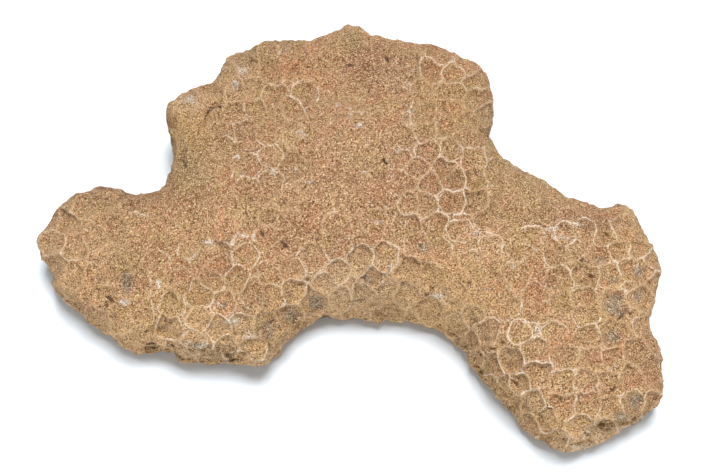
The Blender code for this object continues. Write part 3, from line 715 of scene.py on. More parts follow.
    # Tint, then x, v, radius, squash and strength of each spot, and how far stains reach round the sides
    stain_wrap: float = 0.4
    stains: tuple[tuple[Tint, tuple[tuple[float, float, float, float, float], ...]], ...] = (
        (Tint.RUST, (
            (5, 38.5, 9, 0.7, 0.62), (-37, 9.5, 8, 0.7, 0.4), (-13, 2.5, 8, 0.8, 0.38),
            (11, 10, 10, 1.1, 0.22), (-4, 0, 14, 0.4, 0.25), (47, 5, 12, 0.3, 0.35),
            (66, -22, 5, 1.6, 0.3), (-58, 11, 8, 0.4, 0.3), (43, -9, 3, 1, 0.2), (-2, 24, 12, 0.8, 0.16),
            (-25, 22, 7, 0.9, 0.18), (-2, 12, 24, 0.8, 0.3), (-47, 9, 6, 0.4, 0.45),
        )),
        (Tint.OCHRE, (
            (-37.5, 21, 6, 1.9, 0.6), (18, -10, 8, 0.7, 0.35), (-50, -22, 10, 0.5, 0.4),
            (22, 30, 8, 1, 0.3), (-34, -15, 6, 0.7, 0.35), (-62, -8, 6, 1, 0.2), (32, 14, 8, 0.8, 0.2),
            (8, -16, 22, 0.3, 0.6), (-25, -22, 8, 0.5, 0.45), (28, -29, 6, 1.5, 0.3),
            (33, -38, 5, 1.2, 0.4), (-30, -27, 8, 0.4, 0.5), (47, -43, 10, 0.6, 0.45),
            (-42, -24, 10, 0.4, 0.4), (60, -14, 8, 1.5, 0.2), (60, -41, 8, 0.5, 0.4),
            (-30, 36, 6, 0.8, 0.2),
        )),
        (Tint.OLIVE, (
            (38, 14, 11, 0.9, 0.3), (-54, 8, 7, 0.6, 0.25), (-28, 26, 5, 1.4, 0.22),
            (31, 26, 4, 2, 0.35), (-34, -25.5, 9, 0.25, 0.55), (0, 44.5, 2.8, 1, 0.6),
            (-22, 42, 8, 0.5, 0.3), (40, -36, 3.5, 1.2, 0.4), (-50, -4, 8, 1, 0.2),
            (-36, 16, 6, 1.2, 0.45), (60, -41, 7, 0.5, 0.35), (-44, -2, 4, 1.2, 0.25),
            (24, 22, 5, 0.8, 0.25), (50, -2, 3, 1, 0.3),
        )),
        # Pale sandy stains, and painted light that lifts the bay row, the stub and the lower front flanks
        (Tint.SAND_AND_PAINTED_LIGHT, (
            (62, -14, 7, 1, 0.4), (30, -6, 9, 1, 0.1), (-38, -22, 9, 0.6, 0.6), (-8, -14, 8, 0.7, 0.8),
            (10, -6, 6, 1, 0.4), (30, -25, 5, 1.2, 0.3), (-58, -3, 10, 0.9, 0.15),
            (-52, -22, 7, 0.6, 0.75), (-35, -17, 5, 0.7, 0.35), (-4, -13, 14, 0.5, 0.6),
            (20, -15, 12, 0.6, 0.7), (36, -36, 10, 0.8, 0.45), (55, -44, 12, 0.5, 0.7),
            (29, -24, 6, 1, 0.4), (-24, -26, 6, 0.4, 0.5), (66, 0, 6, 1.5, 0.3), (-14, 22, 7, 0.8, 0.2),
            (-41, -27, 4, 0.6, 0.6),
        )),
        # Pale chalky stains, and painted light on the bay row and the tip of the right leg
        (Tint.CHALK_AND_PAINTED_LIGHT, (
            (-25, 36, 4, 1.3, 0.35), (-36, 31, 5, 0.8, 0.4), (45, 1.5, 7, 0.5, 0.16),
            (49, -46, 7, 0.5, 0.2), (30, 0.5, 6, 0.8, 0.22), (48, -28, 10, 1.2, 0.08),
            (-26, -20, 5, 1, 0.3), (-58, -1, 8, 0.8, 0.15), (-31, -1, 2, 0.8, 0.55), (14, 5, 5, 1, 0.15),
            (-4, 18, 20, 0.7, 0.12), (0, -11, 14, 0.6, 0.35), (10, 36, 5, 0.8, 0.2),
            (58, -44, 8, 0.6, 0.4), (50, -4, 5, 1, 0.15), (29, -22, 6, 1, 0.2), (-34, -22, 9, 0.6, 0.2),
            (-67, -4, 5, 1.5, 0.25),
        )),
        (Tint.SLATE, (
            (-8, -14, 2.2, 0.9, 0.6), (-13.5, -17, 1.8, 1.2, 0.45), (-18.5, -20, 1.8, 1.6, 0.45),
            (-23.5, -20.5, 1.4, 1, 0.3), (-28.5, -14.5, 1.2, 1, 0.5), (-23.5, -20, 1.8, 1, 0.2),
            (-13.5, -6, 1.6, 1, 0.25), (-50, -9.5, 1.4, 1.9, 0.65), (-20, -13, 1.4, 2, 0.35),
            (58.5, -14.5, 3, 1, 0.55), (58, -9, 1.6, 1, 0.4), (55.5, -4.5, 1.6, 1, 0.4),
            (63.5, -7, 1.8, 1, 0.55), (63.5, -12.5, 1.6, 1, 0.45), (58, -21.5, 2.2, 0.9, 0.5),
            (60, -39.5, 1.8, 0.8, 0.5), (63, -36, 2, 1, 0.5), (16, -2, 1.6, 1, 0.45),
            (3.5, -9, 1.5, 1, 0.4), (46, -36, 2, 1, 0.18), (24, 20, 2.4, 0.8, 0.25),
            (12, 27, 1.6, 0.8, 0.3), (-56.5, -8.5, 1.6, 0.8, 0.3),
        )),
        (Tint.SPAR, (
            (1.5, 25.5, 1.8, 0.4, 0.6), (-3, 30, 0.8, 0.8, 0.7), (3, 15, 1, 0.8, 0.7),
            (10.5, 20, 1, 1.2, 0.55), (-11, 23.5, 1.4, 1, 0.5), (-25.5, 18.5, 1, 0.6, 0.6),
            (-13, 16, 1.2, 0.5, 0.5), (-9.5, 13, 1, 0.6, 0.5), (-4, 6, 0.8, 1.6, 0.5),
            (6, 4, 1.6, 0.4, 0.45), (-17.5, 15, 0.8, 1.4, 0.6), (-26, 34.5, 1, 1.8, 0.75),
            (-24.5, 37.5, 1.2, 1, 0.75), (-15, 42, 2.2, 0.5, 0.45), (13.5, 37.5, 0.8, 1.4, 0.5),
            (13.5, 28.5, 1.2, 0.6, 0.6), (19, 26, 0.8, 1.8, 0.4), (-36, 31, 2.4, 0.6, 0.45),
            (-50.5, -14, 2, 0.4, 0.7), (-58, -4, 1.4, 1.2, 0.45), (-30.5, -14, 1.2, 1.6, 0.4),
            (-34, -23.5, 4, 0.3, 0.55), (-26.5, -18.5, 1.8, 1, 0.5), (-22, -21.5, 2.2, 0.5, 0.5),
            (-32, -0.5, 1.6, 0.5, 0.8), (-43, -10, 1, 1, 0.7), (-35, -4, 0.8, 1.8, 0.45),
            (58, -28.5, 2, 0.4, 0.35), (44.5, 2.5, 2, 0.35, 0.65), (46.5, 0.5, 2.6, 0.3, 0.6),
            (50, 3.5, 2, 0.4, 0.5), (41.5, -20, 0.9, 1.6, 0.65), (39, 2, 1, 0.8, 0.4),
            (-46, 5.5, 2.2, 0.3, 0.45), (19.5, -12.5, 2.2, 0.3, 0.75), (8.5, -6, 1, 1.2, 0.45),
            (3.5, -9, 1.4, 0.5, 0.4), (7, -9.5, 0.7, 0.8, 0.55), (30.5, -5, 0.6, 0.8, 0.75),
            (36, -6, 0.7, 0.8, 0.75), (28, 1.5, 2, 0.4, 0.45), (33, -1, 1.2, 1, 0.4),
        )),
        # Painted shade: dark patches on the pits, cracks and grooves
        (Tint.HOLLOW_SHADE, (
            (-29, -0.5, 2.4, 0.5, 0.45), (-44.5, -23.5, 2, 0.45, 0.6), (-27.5, -26.5, 3.2, 0.3, 0.4),
            (60.5, -17, 1, 0.9, 0.7), (-23.5, 1, 2.6, 0.3, 0.35), (17, -11.5, 1.8, 0.8, 0.35),
            (56, -41.5, 2.6, 0.5, 0.35), (51.5, -45, 1.6, 0.5, 0.35), (-63, -13, 3, 0.3, 0.3),
            (-50.5, -8.5, 0.7, 2.4, 0.5), (-0.5, 39, 1.4, 0.6, 0.4), (-18, 39.5, 4.5, 0.2, 0.45),
            (-31.5, 29, 2, 0.4, 0.5), (52, -7, 2.4, 0.7, 0.25), (38, -36, 2, 0.9, 0.25),
        )),
    )

    # x, v, radius and depth of the pores that stand out
    pits: tuple[tuple[float, float, float, float], ...] = (
        (-19.5, 1.5, 0.55, 0.9), (-15, -1, 0.55, 0.9), (-37.5, 19.5, 0.45, 0.6), (-37.5, 17, 0.6, 0.6),
        (-30, 29.5, 0.5, 0.6), (8, 40, 0.5, 0.7), (-1, 39.5, 0.6, 0.7), (0, 39, 0.5, 0.6),
        (7.5, 17.5, 0.5, 0.7), (-2, 19, 0.5, 0.6), (-2.5, 22, 0.4, 0.5), (-11, 3, 0.45, 0.6),
        (-12.5, 1, 0.45, 0.6), (-14, 4.5, 0.4, 0.5), (-6.5, 3.5, 0.45, 0.6), (4, -0.5, 0.45, 0.6),
        (1, 0.5, 0.4, 0.5), (-15.5, 8, 0.4, 0.5), (21, 29, 0.5, 0.6), (0, 31, 0.4, 0.5),
        (-13, -18.5, 0.6, 0.7), (56.5, 1, 0.5, 0.6), (51.5, -5, 0.5, 0.7), (53, -4.5, 0.4, 0.6),
        (53.5, -8, 0.5, 0.7), (51.5, -9, 0.5, 0.6), (17.5, -11, 0.5, 0.8), (17, -12, 0.5, 0.8),
        (15.5, -13.5, 0.5, 0.6), (58.5, -33, 0.5, 0.7), (50, 2, 0.4, 0.5), (61.5, -16, 0.5, 0.7),
        (60, -17, 0.7, 1), (-54, -13.5, 0.6, 0.9), (-55.5, -14.5, 0.5, 0.7), (-54.5, -15, 0.5, 0.7),
        (-27.5, -3, 0.4, 0.5), (-20.5, 2.5, 0.4, 0.5), (-44.5, -23.5, 1.3, 1.4),
        (-27.5, -26.5, 1.5, 1.2),
    )
    # How far a pore's painted shade reaches as a share of its radius, and the least that it shows
    pit_skirt: float = 2.0
    pit_least: float = 0.3

    # Broken lines of x and v: open cracks
    cracks: tuple[tuple[Point, ...], ...] = (
        ((-33, 27.5), (-32, 29), (-30, 29.5)),
        ((-58, -12), (-57, -11), (-56, -11.5), (-54.5, -12), (-54, -13.5)), ((-64, -12), (-62, -14.5)),
        ((-48, -15.5), (-47.5, -16.5), (-47, -17.5)), ((-46, -20.5), (-46, -22)),
        ((-46, -23.5), (-43, -23.5)), ((24, 30.5), (25.5, 29.5)), ((-31, -26.5), (-28, -27)),
        ((-27, -25.5), (-24, -26)), ((-0.5, -18.5), (-0.5, -20.5)), ((-51.5, -8), (-51, -11)),
        ((54, -41.5), (56, -40.5), (58.5, -40.5)), ((51, -45.5), (53, -44)),
        ((36.5, -35.5), (35.5, -36.5)), ((6.5, 18), (8.5, 17)), ((-2.5, 19.5), (-1, 18.5)),
        ((48.5, -46), (53, -46), (57, -43.5)), ((-30, -1), (-28, -0.5)),
        ((43, -38), (45, -37), (45.5, -36)), ((-13.5, -18.5), (-12, -17.5)), ((7, 14.5), (8.5, 13.5)),
    )
    crack_reach: float = 0.7
    crack_core: float = 0.28
    crack_depth: float = 0.5

    # Strength, then the line: bare white walls, whole or in part
    seams: tuple[tuple[float, tuple[Point, ...]], ...] = (
        # the dome, left half
        (0.6, ((-21, 19.5), (-19.5, 21), (-17, 21.5), (-16, 19), (-16.5, 16.5), (-18.5, 16),
            (-20.5, 17.5), (-21, 19.5))),
        (0.5, ((-20, 34), (-20, 31), (-22.5, 29), (-25, 27), (-27, 24), (-27.5, 20))),
        (0.7, ((-13, 34), (-11.5, 34.5), (-8, 32.5), (-7, 31.5))),
        (0.7, ((-14, 31.5), (-12, 30.5), (-10.5, 29))),
        (0.6, ((-25.5, 14.5), (-24, 13.5), (-21, 14.5), (-20, 15.5))), (0.4, ((-23, 12.5), (-25, 10.5))),
        (0.4, ((-20, 34), (-17, 34.5), (-14.5, 33))), (0.35, ((-27, 24), (-24, 25), (-22, 23))),
        (0.4, ((-17, 15), (-16, 13), (-13.5, 13.5), (-12.5, 15))),
        (0.3, ((-1, 28.5), (2, 27), (3, 25.5))),
        # the dome, right half and the ridge
        (0.6, ((15, 37.5), (14.5, 39), (17, 40), (19.5, 39.5), (21, 37.5), (19.5, 35.5))),
        (0.5, ((21, 38.5), (23.5, 38.5), (25.5, 38), (26, 35.5), (24.5, 33.5), (22, 34))),
        (0.5, ((12.5, 34), (12, 30.5), (13, 29), (15, 28), (16.5, 27.5))),
        (0.4, ((26, 35), (28, 33.5), (29, 30.5))),
        (0.5, ((12.5, 27.5), (14, 24.5), (14, 22.5), (17, 22), (19.5, 21.5), (22, 21), (23.5, 20))),
        (0.5, ((23.5, 20), (26, 21), (29, 19), (30, 17))),
        (0.5, ((14, 21.5), (13.5, 19.5), (15.5, 17.5), (18.5, 17.5), (19.5, 19.5), (19, 21.5))),
        (0.6, ((19.5, 19), (21.5, 18), (23.5, 17), (24, 14.5))),
        (0.4, ((12, 15), (15, 15.5), (17, 14), (17.5, 12))),
        (0.35, ((24, 14.5), (26, 13.5), (29, 14), (31, 12))), (0.4, ((17.5, 12), (20, 11), (20, 10))),
        (0.8, ((25, 13), (25, 10), (24.5, 7.5), (23, 6), (20.5, 6), (19.5, 8.5), (20, 10), (22.5, 10.5),
            (25, 10))),
        (0.7, ((17, 4), (17.5, 2.5), (17, 4), (21, 5.5), (24.5, 5), (26, 4), (29, 2.5), (31, 3),
            (32, 5))), (0.6, ((22, 4), (21.5, 1), (23.5, -1.5), (27, -2.5), (28, 0), (29, 2))),
        (0.5, ((29, 2), (32, 0.5), (34, -2))), (0.35, ((8, 14.5), (10, 13), (12, 13))),
        (0.4, ((5, 8.5), (8, 8), (10, 9.5))), (0.45, ((10, 5), (12.5, 6), (15, 5))),
        # the row above the bay
        (0.7, ((-27, -1), (-25.5, 0), (-21, 0), (-20, -3), (-20.5, -6), (-22, -7), (-25.5, -6),
            (-27, -3.5))), (0.6, ((-5.5, -2.5), (-4.5, -5), (-1, -3.5), (-1, -2))),
        (0.6, ((-1, -1), (4, -1.5), (5, -3.5), (4, -6.5), (1.5, -8))),
        (0.7, ((-11.5, -3.5), (-10, -7), (-11, -9.5))), (0.6, ((-7, -9.5), (-6.5, -6.5), (-4, -10.5))),
        (0.6, ((7.5, 0), (10, -3), (9, -4.5))), (0.8, ((17.5, -13), (19.5, -12.5), (21.5, -12.5))),
        (0.5, ((4, -6.5), (6.5, -7), (8, -5))), (0.4, ((-18, -7), (-16, -9), (-17, -12))),
        (0.5, ((10, -3), (12, -1), (14, -2))), (0.4, ((-1, -9), (1, -12), (0, -15))),
        (0.4, ((-14, -9), (-11, -9.5), (-9.5, -12))),
        # the left lobe and the stub
        (0.7, ((-31.5, -14.5), (-28.5, -17.5), (-26, -17), (-24.5, -15))),
        (0.8, ((-44.5, -9), (-43, -10.5), (-43.5, -13))),
        (0.7, ((-43.5, -13), (-44, -16), (-42, -19), (-40.5, -21.5))),
        (0.6, ((-42.5, -22), (-38, -23.5), (-32.5, -24))),
        (0.6, ((-37.5, -10), (-34, -11), (-31, -10.5), (-29, -12.5), (-29.5, -15))),
        (0.8, ((-34, -18), (-31, -20), (-27.5, -23))),
        (0.7, ((-37, -22), (-33.5, -23), (-31, -23), (-27.5, -24), (-24.5, -25), (-19, -25))),
        (0.7, ((-36, -24.5), (-33, -25), (-30, -26), (-26, -27.5), (-24.5, -26.5), (-19.5, -25.5))),
        (0.7, ((-37, -13.5), (-38, -17), (-36, -19.5))),
        (0.6, ((-42, -1.5), (-38, -2), (-35.5, -3.5), (-36, -5.5))), (0.6, ((-40, -2), (-41.5, -4))),
        (0.5, ((-28, -7), (-24.5, -9.5), (-22, -8))),
        (0.5, ((-63.5, 6), (-64.5, 1.5), (-64.5, -3.5), (-61, -3.5))), (0.6, ((-64, 5), (-61.5, 3))),
        (0.5, ((-58.5, 0), (-56.5, 1.5))), (0.6, ((-48, 5.5), (-47, 6.5), (-45.5, 6))),
        (0.5, ((-69, -3), (-67, -2.5), (-66, -4))), (0.5, ((-14.5, -14.5), (-15.5, -18))),
        # the shoulder of the right leg
        (0.9, ((38.5, 3), (41, 3.5), (45, 2.5), (47, 4), (51, 4), (53, 4))),
        (0.8, ((45, 1.5), (47.5, 0.5), (49.5, -0.5))),
        (0.5, ((42, 0), (41, -1.5), (42, -3.5), (44, -5.5), (46.5, -6.5))),
        (0.4, ((38.5, -4), (38.5, 2))), (0.7, ((54, 2), (53.5, 0), (56, -0.5), (57.5, 0.5), (57.5, 3))),
        (0.6, ((57.5, -3.5), (60, -3), (63.5, -3.5), (66, -3.5), (67, -5.5), (68.5, -6.5))),
        (0.5, ((46.5, -6.5), (49, -8), (50, -11))),
        (0.6, ((58.5, -4), (58, -6), (60, -7), (60.5, -10.5), (62.5, -12.5))),
        (0.6, ((63, -5.5), (65.5, -8), (67.5, -7.5))),
        (0.4, ((50, -11), (53, -12), (55.5, -10), (55, -6.5))), (0.4, ((33, -5), (36, -4.5), (38, -6))),
        # the right leg
        (0.5, ((27, -18.5), (28.5, -17.5), (31.5, -17), (33, -18), (34, -20))),
        (0.6, ((37, -14), (37.5, -17))),
        (0.8, ((34.5, -19.5), (36.5, -18), (39.5, -18), (41.5, -19.5), (41, -21.5), (39, -23),
            (36, -22.5), (34.5, -20.5))), (0.9, ((41.5, -19.5), (43, -20.5), (42, -22.5))),
        (0.6, ((41.5, -19.5), (45.5, -18.5), (48, -18.5))),
        (0.7, ((49, -19.5), (51.5, -17.5), (54.5, -18.5), (55.5, -20.5))),
        (0.4, ((36, -10), (38.5, -9), (42, -10), (43, -13))),
        (0.9, ((38.5, -29.5), (39, -27.5), (41, -26.5), (43.5, -26.5), (45, -28.5), (46.5, -29.5),
            (49, -29.5))), (0.5, ((29.5, -25.5), (30, -28.5), (31, -30.5))),
        (0.6, ((33, -27), (34, -29.5))), (0.5, ((33.5, -31), (36, -30.5), (37.5, -32.5))),
        (0.6, ((38, -34), (40.5, -33.5), (42.5, -35.5), (43, -37.5))),
        (0.5, ((49, -34.5), (49.5, -41), (49, -45))),
        (0.6, ((49.5, -39.5), (51.5, -38.5), (54, -39), (55, -40), (58.5, -40))),
        (0.5, ((42, -43), (45.5, -42.5), (48, -44.5))),
        (0.8, ((48.5, -47), (51, -46.5), (53.5, -45.5), (56.5, -44), (60, -41.5), (62, -40.5),
            (65, -40), (68, -36))),
        (0.7, ((48.5, -44.5), (51.5, -43.5), (54.5, -40), (58.5, -39.5), (60, -36), (62, -34.5))),
        (0.6, ((59, -38), (60.5, -36.5), (62.5, -34.5), (66, -35.5), (69, -35.5))),
        (0.4, ((60.5, -10.5), (61, -16), (63, -20))),
        (0.4, ((52, -25), (55, -26), (57, -24), (59, -26))),
        (0.4, ((48, -33), (52, -33.5), (55, -31.5))),
    )
    seam_reach: float = 1.3

    # Broken line of x and v, how far it reaches to each side, depth (under 0 for a raised ledge)
    grooves: tuple[tuple[tuple[Point, ...], float, float], ...] = (
        (((-41.5, -11), (-42.5, -16), (-42, -22), (-41.5, -25)), 1.6, 0.9),
        (((-41.5, -25.5), (-38, -26.5), (-35, -27)), 1.2, 0.9),
        (((-35, -23.5), (-31, -24.5), (-28, -25.5), (-24, -25.5)), 1, 1.5),
        (((-37, -22), (-33.5, -22.5), (-31, -23), (-27.5, -24), (-24.5, -24.5), (-19, -24.5)), 0.8, -0.8),
        (((-36, -24.5), (-33, -25), (-30, -26), (-26, -27.5), (-24.5, -26.5), (-19.5, -25.5)), 0.8, -0.8),
        (((-38, -26.6), (-34, -26.8), (-30, -28)), 0.8, -0.4),
        (((50.5, -45.5), (53.5, -43), (56, -42), (59.5, -41)), 1.3, 1.8),
        (((48.5, -47), (51, -46.5), (53.5, -45.5), (56.5, -44), (60, -41.5), (62, -40.5),
            (65, -40)), 0.8, -0.7),
        (((48.5, -44.5), (51.5, -43.5), (54.5, -40), (58.5, -39.5), (60, -36), (62, -34.5)), 0.8, -0.7),
        (((-25, 40), (-21, 40), (-18, 39.5), (-15, 38.5), (-11.5, 39)), 1, 1.4),
        (((-28, 37.5), (-24, 38.5), (-19, 38), (-15, 37), (-12, 37.5)), 0.8, -0.7),
        (((-34, 26.5), (-32.5, 28.5), (-30, 29.5)), 1, 0.9),
    )
    wiggle: float = 0.45
    wiggle_rates: tuple[float, float, float, float] = (1.9, 0.7, 2.1, 0.9)

    # x, v, radius, height of knobs and, under 0, of hollows
    knobs: tuple[tuple[float, float, float, float], ...] = (
        (10.5, 43.5, 5, -0.7), (22.5, 41.5, 3.5, -0.8), (4.5, 45, 2, -0.7), (31, 21, 3.5, -1),
        (35, 16.5, 4, -0.4), (48, 9.5, 5, -0.8), (54.5, 7, 3.5, -0.9), (61, 7, 2, 0.5),
        (65.5, 0, 3.5, -0.7), (68, -12.5, 5, -0.6), (68, -24, 2.5, 0.9), (69, -31.5, 3.5, -1),
        (65, -39.5, 3.5, -1.1), (60.5, -42.5, 4, -0.8), (48, -47.5, 3.5, 0.7), (38, -43, 3.5, 0.8),
        (36, -40.5, 2.5, 0.6), (25.5, -26.5, 3, 0.8), (12, -19, 2, -0.5), (5.5, -19, 4, 0.7),
        (-1.5, -18, 2, -0.8), (-10, -20, 3, -1), (-18.5, -28.5, 2, 0.9), (-38, -27.5, 2.5, 1.4),
        (-42, -25.5, 1.5, -0.8), (-50, -25.5, 3, 0.6), (-55.5, -21, 3, -0.9), (-62, -15.5, 3, -0.8),
        (-67.5, -7, 3, -1.2), (-70, 0.5, 2, 0.4), (-63, 9, 4.5, 0.7), (-50, 10.5, 4, -0.4),
        (-42, 11, 3, -1.1), (-39.5, 18.5, 5, -0.6), (-41, 28, 2.5, 0.7), (-31, 34.5, 2, -1),
        (-28, 39.5, 2.5, 0.9), (-23.5, 42, 2, -0.9), (-18, 44, 2.5, 0.5),
    )


# The stone


def select_only(piece: bpy.types.Object) -> None:
    """Selects one object and makes it active."""
    bpy.ops.object.select_all(action="DESELECT")
    piece.select_set(True)
    bpy.context.view_layer.objects.active = piece


def read_flat(items: bpy.types.bpy_prop_collection, name: str, size: int, kind: type = float) -> np.ndarray:
    """One property of every item of a mesh's list, as a flat row of numbers.

    Args:
        items: The list, such as the mesh's vertices.
        name: The property.
        size: How many numbers it has for each item.
        kind: What the numbers are.

    Returns:
        The numbers.
    """
    flat = np.empty(len(items) * size, kind)
    items.foreach_get(name, flat)
    return flat


def coordinates(mesh: bpy.types.Mesh) -> np.ndarray:
    """The places of a mesh's vertices, in millimetres."""
    return read_flat(mesh.vertices, "co", 3).reshape(-1, 3) / MM


def normals(mesh: bpy.types.Mesh) -> np.ndarray:
    """The normals of a mesh's vertices."""
    return read_flat(mesh.vertices, "normal", 3).reshape(-1, 3)


def edge_ends(mesh: bpy.types.Mesh) -> tuple[np.ndarray, np.ndarray]:
    """The first and the second vertex of every edge of a mesh."""
    first, second = read_flat(mesh.edges, "vertices", 2, int).reshape(-1, 2).T
    return first, second


def corner_list(mesh: bpy.types.Mesh) -> tuple[np.ndarray, np.ndarray]:
    """How many corners every face of a mesh has, and the vertex at every corner."""
    return read_flat(mesh.polygons, "loop_total", 1, int), read_flat(mesh.loops, "vertex_index", 1, int)


def move_to(mesh: bpy.types.Mesh, places: np.ndarray) -> None:
    """Puts a mesh's vertices at places in millimetres."""
    mesh.vertices.foreach_set("co", (places * MM).ravel())
    mesh.update()


def store(mesh: bpy.types.Mesh, name: str, values: np.ndarray, domain: str = "POINT") -> None:
    """Keeps one number for each element of a mesh.

    Args:
        mesh: The mesh.
        name: Name of the attribute.
        values: The numbers.
        domain: POINT, EDGE, CORNER or FACE.
    """
    layer = mesh.attributes.get(name) or mesh.attributes.new(name, "FLOAT", domain)
    layer.data.foreach_set("value", values.astype(np.float32))


def stored(mesh: bpy.types.Mesh, name: str) -> np.ndarray:
    """The numbers that a mesh keeps under a name."""
    return read_flat(mesh.attributes[name].data, "value", 1, np.float32).astype(float)


def face_mean(mesh: bpy.types.Mesh, name: str) -> np.ndarray:
    """For each vertex, the mean of a number that the faces around it keep."""
    sizes, corners = corner_list(mesh)
    total = np.bincount(corners, np.repeat(stored(mesh, name), sizes), len(mesh.vertices))
    return total / np.maximum(np.bincount(corners, minlength=len(mesh.vertices)), 1)


def rising(values: np.ndarray, low: float, high: float) -> np.ndarray:
    """A soft step from 0 at `low` to 1 at `high`."""
    share = np.clip((values - low) / (high - low), 0.0, 1.0)
    return share * share * (3.0 - 2.0 * share)


def by_axis(work: Callable[[np.ndarray], np.ndarray], values: np.ndarray) -> np.ndarray:
    """Does the same work on every column of an array."""
    return np.stack([work(values[:, axis]) for axis in range(values.shape[1])], axis=1)


def search_tree(points: Sequence[Sequence[float]]) -> KDTree:
    """A tree that finds the nearest of some points, by their number."""
    tree = KDTree(len(points))
    for index, point in enumerate(points):
        tree.insert(point, index)
    tree.balance()
    return tree


class Web:
    """Which vertices of a mesh are joined by edges, for evening out what they hold."""

    def __init__(self, mesh: bpy.types.Mesh) -> None:
        """Reads the mesh's edges."""
        self.first, self.second = edge_ends(mesh)
        self.size = len(mesh.vertices)
        self.count = np.bincount(np.concatenate([self.first, self.second]), minlength=self.size)

    def evened(self, values: np.ndarray, rounds: int, share: float = 0.6) -> np.ndarray:
        """Moves every value towards those beside it.

        Args:
            values: One number for each vertex.
            rounds: How often.
            share: How far each time.

        Returns:
            The evened numbers.
        """
        for _ in range(rounds):
            beside = np.bincount(self.first, values[self.second], self.size)
            beside = beside + np.bincount(self.second, values[self.first], self.size)
            values = (1.0 - share) * values + share * beside / self.count
        return values


@dataclass(frozen=True)
class Layer:
    """A layer of noise that pushes the surface out and in, or sideways: its size, octaves and strength."""

    name: str
    size: float
    octaves: int
    strength: float
    sideways: bool = False

    def push(self, piece: bpy.types.Object, group: str) -> None:
        """Applies the layer to the selected piece.

        Args:
            piece: The piece.
            group: The vertex group that it moves.
        """
        texture = bpy.data.textures.new(self.name, "CLOUDS")
        texture.cloud_type = "COLOR" if self.sideways else "GRAYSCALE"
        texture.noise_scale = self.size * MM
        texture.noise_depth = self.octaves
        modifier = piece.modifiers.new(self.name, "DISPLACE")
        modifier.texture = texture
        modifier.texture_coords = "LOCAL"
        modifier.direction = "RGB_TO_XYZ" if self.sideways else "NORMAL"
        modifier.strength = self.strength * MM
        modifier.mid_level = 0.5
        modifier.vertex_group = group
        bpy.ops.object.modifier_apply(modifier=modifier.name)


